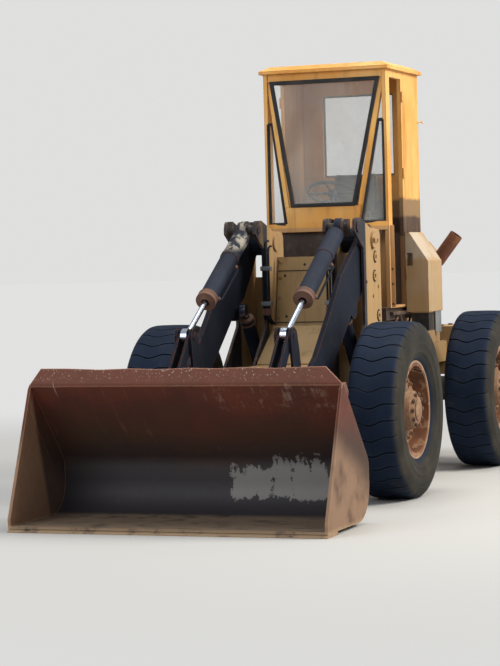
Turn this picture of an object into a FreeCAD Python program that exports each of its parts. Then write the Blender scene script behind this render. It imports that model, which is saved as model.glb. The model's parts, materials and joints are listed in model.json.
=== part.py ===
"""Articulated wheel loader with a tilted tower front, an open cab and a straight-lipped bucket.

Millimetres. +Z is up, the bucket looks to -Y, and +X is the machine's left. The origin lies on the
ground under the middle of the machine. Every sub-part is bound to the cells of the sheet "Sizes".
"""
import FreeCAD, Part
import math
import operator
import os

import Sketcher
from FreeCAD import Placement, Rotation, Vector

doc = FreeCAD.newDocument("WheelLoader")
sheet = doc.addObject("Spreadsheet::Sheet", "Sizes")


class Size:
    """A number together with the expression text that the document keeps for it."""

    def __init__(self, value, text):
        self.value = value
        self.text = text

    @staticmethod
    def of(other):
        return other if isinstance(other, Size) else Size(float(other), "(%r)" % float(other))

    @staticmethod
    def join(left, sign, right):
        left, right = Size.of(left), Size.of(right)
        worked = {"+": operator.add, "-": operator.sub, "*": operator.mul, "/": operator.truediv}[sign]
        return Size(worked(left.value, right.value), "(%s %s %s)" % (left.text, sign, right.text))

    def __add__(self, other):
        return Size.join(self, "+", other)

    def __radd__(self, other):
        return Size.join(other, "+", self)

    def __sub__(self, other):
        return Size.join(self, "-", other)

    def __rsub__(self, other):
        return Size.join(other, "-", self)

    def __mul__(self, other):
        return Size.join(self, "*", other)

    def __rmul__(self, other):
        return Size.join(other, "*", self)

    def __truediv__(self, other):
        return Size.join(self, "/", other)

    def __rtruediv__(self, other):
        return Size.join(other, "/", self)

    def __neg__(self):
        return Size.join(0, "-", self)


def sine(angle):
    return Size(math.sin(math.radians(angle.value)), "sin(%s * 1 deg)" % angle.text)


def cosine(angle):
    return Size(math.cos(math.radians(angle.value)), "cos(%s * 1 deg)" % angle.text)


def tangent(angle):
    return Size(math.tan(math.radians(angle.value)), "tan(%s * 1 deg)" % angle.text)


def length_of(run, rise):
    run, rise = Size.of(run), Size.of(rise)
    return Size(math.hypot(run.value, rise.value),
                "sqrt(%s * %s + %s * %s)" % (run.text, run.text, rise.text, rise.text))


def angle_of(run, rise):
    """The angle in degrees of the direction (run, rise)."""
    run, rise = Size.of(run), Size.of(rise)
    return Size(math.degrees(math.atan2(rise.value, run.value)),
                "(atan2(%s; %s) / 1 deg)" % (rise.text, run.text))


# The driving dimensions, in millimetres and degrees. Places along the machine are told from the front axle,
# rearwards positive.
overall_length = 6040
front_reach = 2340
wheelbase = 2500
track = 1716
hitch_behind = 1250
running_gap = 0.3

tyre_radius = 638
tyre_width = 395
tread_width = 330
bead_radius = 330
lug_count = 32
groove_width = 24
groove_depth = 22
groove_sweep = 50
rim_radius = 342
rim_width = 300
rim_wall = 14
disc_thick = 26
disc_offset = 40
hub_radius = 150
hub_long = 150
bolt_circle = 205
bolt_count = 12
bolt_radius = 15
spindle_radius = 62

axle_tube_radius = 100
banjo_radius = 215
axle_flange_radius = 170
axle_half = 650
oscillation_radius = 85

arm_x = 465
arm_thick = 36
arm_boss_radius = 92
arm_pivot_y = 620
arm_pivot_z = 1870
bucket_pin_y = -1330
bucket_pin_z = 330
lever_pin_y = -876
lever_pin_z = 821
crank_pin_y = -960
crank_pin_z = 1220
link_pin_y = -1406
link_pin_z = 703
arm_deep = 290
arm_tip_deep = 190
arm_tube_radius = 75
arm_tube_along = 1700
arm_pin_radius = 42
bucket_pin_radius = 35
lever_pin_radius = 34
crank_pin_radius = 26
lever_thick = 18
link_thick = 16
link_wide = 92
stack_gap = 4
eye_half = 22

tilt_x = 370
tilt_pin_y = 260
tilt_pin_z = 1970
tilt_pin_radius = 32
tilt_ear_radius = 60
tilt_ear_thick = 22
tilt_barrel_radius = 65
tilt_barrel_long = 985
tilt_gland_radius = 70
tilt_gland_long = 60
tilt_rod_radius = 20
tilt_travel = 540
tilt_collar = 400
lift_x = 385
lift_base_y = 790
lift_base_z = 610
lift_eye_y = 229
lift_eye_z = 1364
lift_pin_radius = 26
lift_barrel_radius = 50
lift_barrel_long = 875
lift_rod_radius = 22
lift_travel = 755
steer_base_x = 360
steer_base_y = 2000
steer_eye_x = 360
steer_eye_y = 1100
steer_z = 700
steer_pin_radius = 18
steer_barrel_radius = 38
steer_barrel_long = 590
steer_rod_radius = 19
steer_travel = 214

tower_outer_x = 505
tower_inner_x = 275
tower_plate = 20
tower_rear_y = 800
tower_front_y = 390
tower_top_z = 1955
tower_foot_z = 760
tower_foot_y = 60
tower_knee_z = 1245
cover_top_y = 600
cover_top_z = 1760
cover_knee_y = 500
cover_knee_z = 1240
cover_foot_y = 110
cover_thick = 12
tower_boss_radius = 36
tower_hole_radius = 16

bucket_width = 2220
bucket_plate = 16
bucket_side_plate = 20
bucket_back_y = -1465
bucket_bend_z = 410
bucket_heel_radius = 235
bucket_bend_radius = 120
bucket_back_lean = 42
bucket_back_long = 725
edge_thick = 25
edge_long = 210
guard_high = 112
guard_thick = 12
guard_lean = 12
guard_corner = 105
ear_thick = 22

frame_rail_x = 225
frame_plate = 50
frame_top_z = 960
frame_low_z = 760
frame_nose_y = -330
hitch_pin_radius = 40
hitch_eye_radius = 95
hitch_low_z = 500
hitch_high_z = 905
hitch_plate = 40
rear_rail_x = 350
rear_rail_low_z = 835
rear_rail_high_z = 1010
rear_rail_plate = 40

cab_half = 500
cab_front_y = 1085
cab_rear_y = 1950
cab_floor_z = 1345
cab_sill_z = 2010
cab_eave_z = 3190
cab_wall = 32
door_front_y = 1185
door_rear_y = 1480
door_low_z = 1365
door_high_z = 3130
screen_low_z = 2150
screen_high_z = 3120
screen_low_half = 275
screen_high_half = 435
screen_low_y = 1000
screen_high_y = 1090
pillar_wide = 42
quarter_apex_z = 2790
rear_window_half = 300
rear_window_low_z = 2400
rear_window_high_z = 3060
roof_overhang = 28
roof_thick = 62
base_front_y = 1060
base_half = 470
base_low_z = 1250
locker_inner_x = 300
locker_high_z = 1928

hood_half = 360
hood_front_y = 1985
hood_rear_y = 2930
hood_low_z = 1060
hood_top_z = 1860
hood_wall = 22
weight_half = 560
weight_long = 600
weight_low_z = 720
weight_high_z = 1130
tow_slot_half = 60
tow_slot_z = 830
tow_slot_high = 70
tow_pin_in = 46
tow_pin_radius = 20
grille_long = 34
grille_bars = 11
engine_half = 240
engine_front_y = 2060
engine_rear_y = 2860
engine_high_z = 1620
tank_outer_x = 688
tank_inner_x = 505
tank_front_y = 1490
tank_rear_y = 1880
tank_low_z = 1300
tank_high_z = 1930
tank_shoulder_z = 1700
exhaust_radius = 55
exhaust_y = 2230
exhaust_z = 1700
exhaust_bend_x = 560
exhaust_long = 260
exhaust_rise = 52
wheel_rim_radius = 195
wheel_grip_radius = 14
seat_half = 230
seat_high = 620
cushion_thick = 110
seat_back_high = 470


def fill_sheet():
    """Write the driving dimensions above into the sheet and give them back by name."""
    sizes = {name: number for name, number in globals().items() if type(number) in (int, float)}
    named = {}
    for row, (name, number) in enumerate(sizes.items(), 1):
        sheet.set("A%d" % row, name)
        sheet.set("B%d" % row, "%r" % number)
        sheet.setAlias("B%d" % row, name)
        named[name] = Size(float(number), "<<Sizes>>." + name)
    doc.recompute()
    return type("Named", (), named)


S = fill_sheet()

FRONT_AXLE = S.front_reach - S.overall_length / 2
REAR_AXLE = FRONT_AXLE + S.wheelbase
HITCH = FRONT_AXLE + S.hitch_behind
REAR_END = S.overall_length / 2
LIP = -S.overall_length / 2


def back(size):
    """A place along the machine, told from the front axle."""
    return FRONT_AXLE + size


ARM_PIVOT = (back(S.arm_pivot_y), S.arm_pivot_z)
BUCKET_PIN = (back(S.bucket_pin_y), S.bucket_pin_z)
LEVER_PIN = (back(S.lever_pin_y), S.lever_pin_z)
CRANK_PIN = (back(S.crank_pin_y), S.crank_pin_z)
LINK_PIN = (back(S.link_pin_y), S.link_pin_z)
TILT_PIN = (back(S.tilt_pin_y), S.tilt_pin_z)
LIFT_BASE = (back(S.lift_base_y), S.lift_base_z)
LIFT_EYE = (back(S.lift_eye_y), S.lift_eye_z)


def bind(thing, prop, size):
    """Set a property, and keep its expression where it has one."""
    if isinstance(size, Size):
        thing.setExpression(prop, size.text)
    else:
        setattr(thing, prop, size)


def place(thing, x=0, y=0, z=0, axis=None, angle=None):
    """Bind where a thing stands, and how far it turns about an axis."""
    values = [Size.of(v) for v in (x, y, z)]
    turn = Rotation(Vector(*axis), angle.value) if axis else Rotation()
    thing.Placement = Placement(Vector(*[v.value for v in values]), turn)
    for name, size in zip("xyz", values):
        thing.setExpression(".Placement.Base." + name, size.text)
    if axis:
        thing.setExpression(".Placement.Rotation.Angle", angle.text)
    return thing


def plane_of(body, role):
    return [f for f in body.Origin.OriginFeatures if f.Role == role][0]


def draw(sketch, points):
    """Draw a closed outline whose corners are bound to their places."""
    corners = [(Size.of(a), Size.of(b)) for a, b in points]
    count = len(corners)
    lines = []
    for n in range(count):
        (a, b), (c, d) = corners[n], corners[(n + 1) % count]
        line = Part.LineSegment(Vector(a.value, b.value, 0), Vector(c.value, d.value, 0))
        lines.append(sketch.addGeometry(line, False))
    for n in range(count):
        sketch.addConstraint(Sketcher.Constraint("Coincident", lines[n], 2, lines[(n + 1) % count], 1))
    for line, (a, b) in zip(lines, corners):
        for kind, size in (("DistanceX", a), ("DistanceY", b)):
            index = sketch.addConstraint(Sketcher.Constraint(kind, line, 1, size.value))
            sketch.setExpression("Constraints[%d]" % index, size.text)


def draw_circle(sketch, centre, radius):
    a, b, r = [Size.of(v) for v in (*centre, radius)]
    circle = sketch.addGeometry(Part.Circle(Vector(a.value, b.value, 0), Vector(0, 0, 1), r.value), False)
    for kind, args, size in (("DistanceX", (circle, 3), a), ("DistanceY", (circle, 3), b),
                             ("Radius", (circle,), r)):
        index = sketch.addConstraint(Sketcher.Constraint(kind, *args, size.value))
        sketch.setExpression("Constraints[%d]" % index, size.text)


def new_body(name):
    return doc.addObject("PartDesign::Body", name)


def new_sketch(body, role, height=None):
    sketch = body.newObject("Sketcher::SketchObject", body.Name + "_outline")
    sketch.AttachmentSupport = [(plane_of(body, role), "")]
    sketch.MapMode = "FlatFace"
    if height is not None:
        sketch.AttachmentOffset = Placement(Vector(0, 0, height.value), Rotation())
        sketch.setExpression(".AttachmentOffset.Base.z", height.text)
    return sketch


# The axis that a pad on each plane runs along.
PAD_AXIS = {"YZ_Plane": "x", "XZ_Plane": "y", "XY_Plane": "z"}


def round_corners(body, feature, role, points, rounds):
    """Round the named corners of a padded outline."""
    along = "xyz".index(PAD_AXIS[role])
    for radius, corners in rounds:
        doc.recompute()
        wanted = [[Size.of(v).value for v in points[n]] for n in corners]
        names = []
        for number, edge in enumerate(feature.Shape.Edges, 1):
            ends = [v.Point for v in edge.Vertexes]
            if len(ends) != 2:
                continue
            flat = [[p[i] for i in range(3) if i != along] for p in ends]
            if any(all(math.dist(q, w) < 0.01 for q in flat) for w in wanted):
                names.append("Edge%d" % number)
        fillet = body.newObject("PartDesign::Fillet", body.Name + "_round")
        fillet.Base = (feature, names)
        bind(fillet, "Radius", radius)
        feature = fillet
    return feature


def plate(name, role, points, start, thick, holes=(), rounds=(), cuts=()):
    """A plate from an outline, from start along the plane's axis by its thickness."""
    body = new_body(name)
    sketch = new_sketch(body, role)
    draw(sketch, points)
    for centre, radius in holes:
        draw_circle(sketch, centre, radius)
    for cut_points in cuts:
        draw(sketch, cut_points)
    pad = body.newObject("PartDesign::Pad", name + "_pad")
    pad.Profile = sketch
    bind(pad, "Length", Size.of(thick))
    pad.Reversed = role == "XZ_Plane"
    round_corners(body, pad, role, points, rounds)
    axis = PAD_AXIS[role]
    place(body, **{axis: start})
    return body


def turned(name, role, points):
    """A turned piece: its outline is (along, radius), and it turns about the sketch's level axis."""
    body = new_body(name)
    sketch = new_sketch(body, role)
    draw(sketch, points)
    turn = body.newObject("PartDesign::Revolution", name + "_turn")
    turn.Profile = sketch
    turn.ReferenceAxis = (sketch, ["H_Axis"])
    turn.Angle = 360
    return body


def loft(name, *sections):
    """A ruled body between outlines (x, y) at their heights."""
    body = new_body(name)
    sketches = []
    for height, points in sections:
        sketch = new_sketch(body, "XY_Plane", Size.of(height))
        draw(sketch, points)
        sketches.append(sketch)
    skin = body.newObject("PartDesign::AdditiveLoft", name + "_loft")
    skin.Profile = sketches[0]
    skin.Sections = sketches[1:]
    skin.Ruled = True
    return body


def box(name, x, y, z):
    """A block between two places along each axis."""
    block = doc.addObject("Part::Box", name)
    for prop, (low, high) in (("Length", x), ("Width", y), ("Height", z)):
        bind(block, prop, Size.of(high) - low)
    return place(block, x[0], y[0], z[0])


ALONG = {"x": ((0, 1, 0), 90), "y": ((1, 0, 0), -90), "z": ((0, 0, 1), 0)}


def rod(name, axis, start, end, centre, radius):
    """A round bar along an axis, from start to end, about a centre in the two other directions."""
    bar = doc.addObject("Part::Cylinder", name)
    bind(bar, "Radius", Size.of(radius))
    bind(bar, "Height", Size.of(end) - start)
    spot = {axis: start}
    spot.update(zip([n for n in "xyz" if n != axis], centre))
    direction, angle = ALONG[axis]
    return place(bar, axis=direction, angle=Size.of(angle), **spot)


def combine(kind, name, pieces):
    whole = doc.addObject(kind, name)
    if kind == "Part::Compound":
        whole.Links = pieces
    else:
        whole.Shapes = pieces
    return whole


def fuse(name, *pieces):
    return combine("Part::MultiFuse", name, list(pieces))


def group(name, *pieces):
    return combine("Part::Compound", name, list(pieces))


def cut(name, base, *tools):
    tool = tools[0] if len(tools) == 1 else fuse(name + "_tools", *tools)
    whole = doc.addObject("Part::Cut", name)
    whole.Base = base
    whole.Tool = tool
    return whole


def mirrored(thing):
    """The same piece on the machine's other side."""
    image = doc.addObject("Part::Mirroring", thing.Name + "_right")
    image.Source = thing
    image.Normal = (1, 0, 0)
    return image


def both(name, thing):
    """A piece on the left and its image on the right, as two solids."""
    return group(name, thing, mirrored(thing))


def shifted(point, along, across, start, end):
    """A point told along and across the line from start to end; across is positive upwards."""
    run, rise = end[0] - start[0], end[1] - start[1]
    reach = length_of(run, rise)
    unit_y, unit_z = run / reach, rise / reach
    return (point[0] + along * unit_y + across * unit_z, point[1] + along * unit_z - across * unit_y)


NODES = []


def node(name, thing):
    thing.Label = name
    NODES.append(thing)
    return thing


def tyre_profile():
    """The tyre's outline (across, radius)."""
    half, tread = S.tyre_width / 2, S.tread_width / 2
    bead, outer = S.rim_radius + 14, S.tyre_radius
    seat, low = S.rim_width / 2 - S.rim_wall - S.running_gap, S.bead_radius + S.running_gap
    right = [(seat, low), (seat, bead), (half, bead + 150), (half - 4, outer - 55), (tread, outer)]
    return right + [(-across, radius) for across, radius in reversed(right)]


def round_wheel(name, piece):
    """Copies of a piece about the X axis, one for each lug."""
    step = 360 / S.lug_count
    return [place(group(name, piece), axis=(1, 0, 0), angle=step * number) for number in range(lug_count)]


def make_tyre():
    """One tyre about the X axis: a ring of flat-sided sectors, and a chevron groove between each two lugs."""
    half_step, top = 180 / S.lug_count, S.tyre_radius + 10
    edge, foot = top * tangent(half_step), S.bead_radius * tangent(half_step)
    wedge_outline = [(-foot, S.bead_radius), (foot, S.bead_radius), (edge, top), (-edge, top)]
    wedge = plate("tyre_wedge", "YZ_Plane", wedge_outline, -S.tyre_width, S.tyre_width * 2)
    run = plate("tyre_run", "XZ_Plane", tyre_profile(), -edge, edge * 2)
    sector = combine("Part::MultiCommon", "tyre_sector", [run, wedge])
    ring = fuse("tyre_ring", *round_wheel("tyre_sectors", sector))
    side, sweep, wide = S.tyre_width / 2 + 8, S.groove_sweep, S.groove_width
    chevron = [(-side, sweep), (0, -sweep), (side, sweep),
               (side, sweep + wide), (0, wide - sweep), (-side, sweep + wide)]
    groove = plate("tyre_groove", "XY_Plane", chevron, S.tyre_radius - S.groove_depth, S.groove_depth + 30)
    return cut("tyre", ring, *round_wheel("tyre_grooves", groove))


def make_rim():
    """One wheel: rim with flanges, dished disc with bolts, and hub with its end cover, facing +X."""
    half, wall, seat = S.rim_width / 2, S.rim_wall, S.bead_radius
    flange, face = S.rim_radius + 12, S.disc_offset
    barrel = turned("rim_barrel", "XY_Plane", [
        (-half, seat - wall), (half, seat - wall), (half, flange), (half - wall, flange),
        (half - wall, seat), (-half + wall, seat), (-half + wall, flange), (-half, flange)])
    disc = turned("rim_disc", "XY_Plane", [
        (face, S.spindle_radius + S.running_gap), (face + S.disc_thick, S.spindle_radius + S.running_gap),
        (face + S.disc_thick, S.bolt_circle + 35), (S.disc_thick, seat - wall + 4),
        (0, seat - wall + 4), (face, S.bolt_circle + 30)])
    hub = turned("rim_hub", "XY_Plane", [
        (-30, S.spindle_radius + S.running_gap), (S.hub_long - 30, S.spindle_radius + S.running_gap),
        (S.hub_long - 30, 0), (S.hub_long + 10, 0), (S.hub_long + 10, S.hub_radius - 45),
        (S.hub_long - 15, S.hub_radius - 15), (face + S.disc_thick + 30, S.hub_radius),
        (face + S.disc_thick - 2, S.hub_radius), (face + S.disc_thick - 2, S.hub_radius - 20), (-30, 105)])
    bolts = []
    for number in range(int(S.bolt_count.value)):
        angle = 360 / S.bolt_count * number
        centre = (S.bolt_circle * cosine(angle), S.bolt_circle * sine(angle))
        bolts.append(plate("rim_bolt", "YZ_Plane", round_outline(centre, S.bolt_radius, 6),
                           face + S.disc_thick - 4, 24))
    return fuse("rim_whole", barrel, disc, hub, *bolts)


def make_wheels():
    """Each axle's left wheel, and its image on the right."""
    pieces = (("tyre", make_tyre()), ("rim", make_rim()))
    for end, y in (("front", FRONT_AXLE), ("rear", REAR_AXLE)):
        for kind, piece in pieces:
            left = place(group("%s_%s_left" % (kind, end), piece), S.track / 2, y, S.tyre_radius)
            node("%s_%s_left" % (kind, end), left)
            node("%s_%s_right" % (kind, end), mirrored(left))


def axle_profile(half):
    tube, banjo = S.axle_tube_radius, S.banjo_radius
    tip = S.track / 2 + S.hub_long - 34
    return [(-tip, 0), (tip, 0), (tip, S.spindle_radius), (half + 30, S.spindle_radius),
            (half + 30, S.axle_flange_radius), (half - 20, S.axle_flange_radius), (half - 90, tube),
            (210, tube), (110, banjo), (-110, banjo), (-210, tube), (90 - half, tube),
            (20 - half, S.axle_flange_radius), (-half - 30, S.axle_flange_radius),
            (-half - 30, S.spindle_radius), (-tip, S.spindle_radius)]


def make_axles():
    profile = axle_profile(S.axle_half)
    front = place(turned("front_axle_tube", "XY_Plane", profile), 0, FRONT_AXLE, S.tyre_radius)
    nose = rod("front_axle_nose", "y", FRONT_AXLE, FRONT_AXLE + 330, (0, S.tyre_radius), 85)
    pads = both("front_axle_pads", box("front_axle_pad", (S.frame_rail_x - 40, S.frame_rail_x + 40),
                                       (FRONT_AXLE - 85, FRONT_AXLE + 85),
                                       (S.tyre_radius, S.frame_low_z - S.running_gap)))
    node("front_axle", fuse("front_axle", front, nose, pads))
    rear = place(turned("rear_axle_tube", "XY_Plane", profile), 0, REAR_AXLE, S.tyre_radius)
    journal = rod("rear_axle_journal", "y", REAR_AXLE - 330, REAR_AXLE + 330,
                  (0, S.tyre_radius), S.oscillation_radius)
    shaft = rod("rear_axle_input", "y", REAR_AXLE - 420, REAR_AXLE - 325, (0, S.tyre_radius), 52)
    node("rear_axle", fuse("rear_axle", rear, journal, shaft))


def level_outline(half, front, rear, rear_half=None):
    """Four corners alike on both sides: half the width at the front and, where it differs, at the rear."""
    rear_half = half if rear_half is None else rear_half
    return [(-half, front), (half, front), (rear_half, rear), (-rear_half, rear)]


def make_front_frame():
    """Two rails and a deck over the axle, the tower floor, and the hitch ears with their pin."""
    nose_y, rear_y, rail_x = back(S.frame_nose_y), back(S.tower_rear_y), S.frame_rail_x
    rail = box("front_rail", (rail_x - S.frame_plate / 2, rail_x + S.frame_plate / 2), (nose_y, rear_y),
               (S.frame_low_z, S.frame_top_z))
    inside = rail_x - S.frame_plate / 2 + 1
    deck = box("front_deck", (-inside, inside), (nose_y, rear_y), (S.frame_top_z - 40, S.frame_top_z))
    nose = box("front_nose", (-inside, inside), (nose_y, nose_y + 25), (S.frame_low_z + 20, S.frame_top_z))
    floor_x, floor_y = S.tower_outer_x + S.tower_plate / 2, back(S.tower_foot_y) + 32
    floor_z = (S.tower_foot_z - 40, S.tower_foot_z - S.running_gap)
    rail_side = rail_x + 20
    floors = [box("tower_floor", (rail_side, floor_x), (floor_y, floor_y + 470), floor_z),
              box("floor_inside", (rail_side, S.tower_inner_x + 25), (floor_y + 469, rear_y), floor_z),
              box("floor_outside", (floor_x - 35, floor_x), (floor_y + 469, rear_y), floor_z)]
    gusset = plate("floor_gusset", "XZ_Plane",
                   [(rail_side, S.tower_foot_z - 200), (rail_side + 40, S.tower_foot_z - 200),
                    (floor_x - 20, S.tower_foot_z - 38), (rail_side, S.tower_foot_z - 38)],
                   floor_y + 300, 30)
    rail_foot = box("rail_foot", (S.frame_rail_x - 25, rail_side + 1), (floor_y + 250, floor_y + 380),
                    (S.tower_foot_z - 200, S.frame_low_z + 1))
    eye_side = S.lift_x - S.eye_half - S.stack_gap
    side = (rail, *floors, gusset, rail_foot,
            rod("lift_lug", "x", S.frame_rail_x - 30, eye_side, LIFT_BASE, 48),
            rod("lift_base_pin", "x", eye_side - 1, S.lift_x + S.eye_half + 8, LIFT_BASE, S.lift_pin_radius))
    ears = []
    for ear_name, low in (("hitch_low", S.hitch_low_z), ("hitch_high", S.hitch_high_z)):
        outline = level_outline(rail_x, rear_y - 60, HITCH + S.hitch_eye_radius, S.hitch_eye_radius)
        ears.append(plate(ear_name, "XY_Plane", outline, low, S.hitch_plate, rounds=[(80, (2, 3))]))
    wall = box("hitch_wall", (-rail_x, rail_x), (rear_y - 60, rear_y), (S.hitch_low_z, S.frame_top_z))
    pin = rod("hitch_pin", "z", S.hitch_low_z - 15, S.hitch_high_z + S.hitch_plate + 15,
              (0, HITCH), S.hitch_pin_radius)
    eye_x, eye_y = S.steer_eye_x, back(S.steer_eye_y)
    brackets = plate("steer_bracket", "XY_Plane",
                     [(rail_x - 60, rear_y - 30), (rail_x - 1, rear_y - 60), (eye_x + 10, eye_y - 120),
                      (eye_x + 36, eye_y + 36), (eye_x - 36, eye_y + 36), (rail_x - 60, rear_y + 60)],
                     S.steer_z - S.eye_half - S.stack_gap - 24, 24, rounds=[(30, (3, 4))])
    halves = fuse("front_frame_side", *side, brackets)
    node("front_chassis", fuse("front_chassis", halves, mirrored(halves), deck, nose, wall, pin, *ears))


def tower_outline():
    y, z = back, S.tower_top_z
    return [(TILT_PIN[0] - 75, TILT_PIN[1] - 30), (TILT_PIN[0] - 60, TILT_PIN[1] + 65),
            (TILT_PIN[0] + 70, TILT_PIN[1] + 68), (ARM_PIVOT[0] - 60, z + 10), (y(S.tower_rear_y), z),
            (y(S.tower_rear_y), S.tower_foot_z), (y(S.tower_foot_y), S.tower_foot_z),
            (y(S.tower_foot_y), S.tower_foot_z + 150), (y(S.tower_front_y), S.tower_knee_z),
            (y(S.tower_front_y), TILT_PIN[1] - 160)]


# The ringed holes in a tower's outer plate: along the machine, height.
TOWER_BOSSES = ((667, 1745), (644, 1601), (724, 1301))


def make_towers():
    """Each side's two plates with the arm's pin through them, and the ear beside the tilt cylinder."""
    half = S.tower_plate / 2
    rounds = [(40, (1, 2)), (60, (4,)), (45, (8,))]
    spots = [(back(along), Size.of(high)) for along, high in TOWER_BOSSES]
    outer = plate("tower_outer", "YZ_Plane", tower_outline(), S.tower_outer_x - half, S.tower_plate,
                  holes=[(spot, S.tower_hole_radius) for spot in spots], rounds=rounds)
    bosses = [plate("tower_boss", "YZ_Plane", round_outline(spot, S.tower_boss_radius),
                    S.tower_outer_x + half - 1, 9, holes=[(spot, S.tower_hole_radius)]) for spot in spots]
    inner = plate("tower_inner", "YZ_Plane", tower_outline(), S.tower_inner_x - half, S.tower_plate,
                  rounds=rounds)
    rear = box("tower_back", (S.tower_inner_x + half - 1, S.tower_outer_x - half + 1),
               (back(S.tower_rear_y) - 20, back(S.tower_rear_y)), (S.tower_foot_z + 140, ARM_PIVOT[1] - 260))
    inside, outside = S.tower_inner_x - half, S.tower_outer_x + half
    pins = [rod("arm_pin", "x", inside - 8, outside + 8, ARM_PIVOT, S.arm_pin_radius),
            rod("arm_pin_head", "x", outside - 1, outside + 16, ARM_PIVOT, 62),
            rod("arm_pin_foot", "x", inside - 14, inside + 1, ARM_PIVOT, 62)]
    y, z = TILT_PIN
    ear_start = S.tilt_x + S.eye_half + S.stack_gap
    ear_end = ear_start + S.tilt_ear_thick
    ear_outline = round_outline(TILT_PIN, S.tilt_ear_radius)
    ear = plate("tilt_ear", "YZ_Plane", ear_outline, ear_start, S.tilt_ear_thick)
    bridge = box("tilt_bridge", (ear_start, ear_end), (y, y + 120), (z - 50, z + 50))
    web = box("tilt_web", (S.tower_inner_x + half - 1, ear_end), (y + 85, y + 120), (z - 70, z + 60))
    pins.append(rod("tilt_pin", "x", inside - 8, ear_end + 8, TILT_PIN, S.tilt_pin_radius))
    pins.append(rod("tilt_pin_head", "x", outside - 1, outside + 12, TILT_PIN, S.tilt_pin_radius + 12))
    side = fuse("tower_side", outer, inner, rear, ear, bridge, web, *bosses, *pins)
    node("lift_towers", both("lift_towers", side))


def make_front_cover():
    """The folded cover between the towers, from the tower tops down to the nose."""
    half = S.tower_inner_x - S.tower_plate / 2 - S.running_gap - 15
    thick, foot_z = S.cover_thick, S.frame_top_z + S.running_gap
    top, knee, foot = [back(y) for y in (S.cover_top_y, S.cover_knee_y, S.cover_foot_y)]
    outline = [(top, S.cover_top_z), (knee, S.cover_knee_z), (foot, foot_z + thick), (foot, foot_z),
               (knee + thick, S.cover_knee_z - thick), (top + thick, S.cover_top_z)]
    node("front_cover", plate("front_cover", "YZ_Plane", outline, -half, half * 2))


def pin_plate(name, start, end, deep, tip_deep, x, thick, holes=()):
    """A long plate from one pin to another, wide at the first and narrow at the second."""
    a, b = start, end
    run = length_of(end[0] - start[0], end[1] - start[1])
    edge, tip = deep / 2, tip_deep / 2
    points = [shifted(a, -edge * 0.9, edge * 0.6, a, b), shifted(a, edge, edge, a, b),
              shifted(a, run * 0.72, edge, a, b), shifted(a, run + tip * 0.3, tip, a, b),
              shifted(a, run + tip, tip * 0.2, a, b), shifted(a, run + tip, -tip * 0.45, a, b),
              shifted(a, run + tip * 0.3, -tip, a, b), shifted(a, run * 0.72, -edge, a, b),
              shifted(a, edge, -edge, a, b), shifted(a, -edge * 0.9, -edge * 0.6, a, b)]
    return plate(name, "YZ_Plane", points, x - thick / 2, thick, holes=holes,
                 rounds=[(edge * 0.4, (0, 9)), (tip * 0.3, (3, 4, 5, 6))])


def arm_points(places):
    """Points told along and above the line from the arm's pivot to the bucket's pin."""
    return [shifted(ARM_PIVOT, Size.of(along), Size.of(above), ARM_PIVOT, BUCKET_PIN)
            for along, above in places]


def make_arms():
    """One plate each side from the tower to the bucket, with its bosses, and the tube that joins the two."""
    gap, deep, tip = S.running_gap, S.arm_deep / 2, S.arm_tip_deep / 2
    run = length_of(BUCKET_PIN[0] - ARM_PIVOT[0], BUCKET_PIN[1] - ARM_PIVOT[1])
    arm_hole = (ARM_PIVOT, S.arm_pin_radius + gap)
    outline = arm_points([(-105, 70), (-30, 120), (180, 150), (700, 215), (1080, 170), (1500, 142),
                          (1710, 174), (1930, 174), (2080, 128),
                          (run + tip * 0.3, tip), (run + tip, tip * 0.25), (run + tip, -tip * 0.4),
                          (run + tip * 0.3, -tip), (run * 0.72, -deep), (700, -deep), (420, -185),
                          (120, -140), (-60, -105), (-110, -50)])
    start, end = S.arm_x - S.arm_thick / 2, S.arm_x + S.arm_thick / 2
    blade = plate("arm_plate", "YZ_Plane", outline, start, S.arm_thick,
                  holes=[arm_hole, (BUCKET_PIN, S.bucket_pin_radius + gap),
                         (LEVER_PIN, S.lever_pin_radius + gap)],
                  rounds=[(40, (0, 1, 6, 7)), (30, (9, 12, 17, 18)), (20, (10, 11))])
    boss_start = S.tower_inner_x + S.tower_plate / 2 + 6
    boss = plate("arm_boss", "YZ_Plane", round_outline(ARM_PIVOT, S.arm_boss_radius), boss_start,
                 end + 4 - boss_start, holes=[arm_hole])
    ear = plate("lift_ear", "YZ_Plane", round_outline(LIFT_EYE, 75), start, S.arm_thick)
    stub = rod("lift_stub", "x", S.lift_x + S.eye_half + S.stack_gap, start + 1, LIFT_EYE, 30)
    side = fuse("arm_side", blade, boss, ear, stub)
    across = arm_points([(S.arm_tube_along, -25)])[0]
    tube = rod("arm_tube", "x", -start - 1, start + 1, across, S.arm_tube_radius)
    node("lift_arms", fuse("lift_arms", side, mirrored(side), tube))


def round_outline(centre, radius, count=16):
    """A round boss's outline."""
    points = []
    for number in range(count):
        angle = Size.of(360 * number / count)
        points.append((centre[0] + radius * cosine(angle), centre[1] + radius * sine(angle)))
    return points


def stack(level):
    """How far from the tilt cylinder's middle a layer starts: links lie next to the eye, then levers."""
    first = S.eye_half + S.stack_gap
    return first if level == 0 else first + S.link_thick + S.stack_gap


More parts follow.
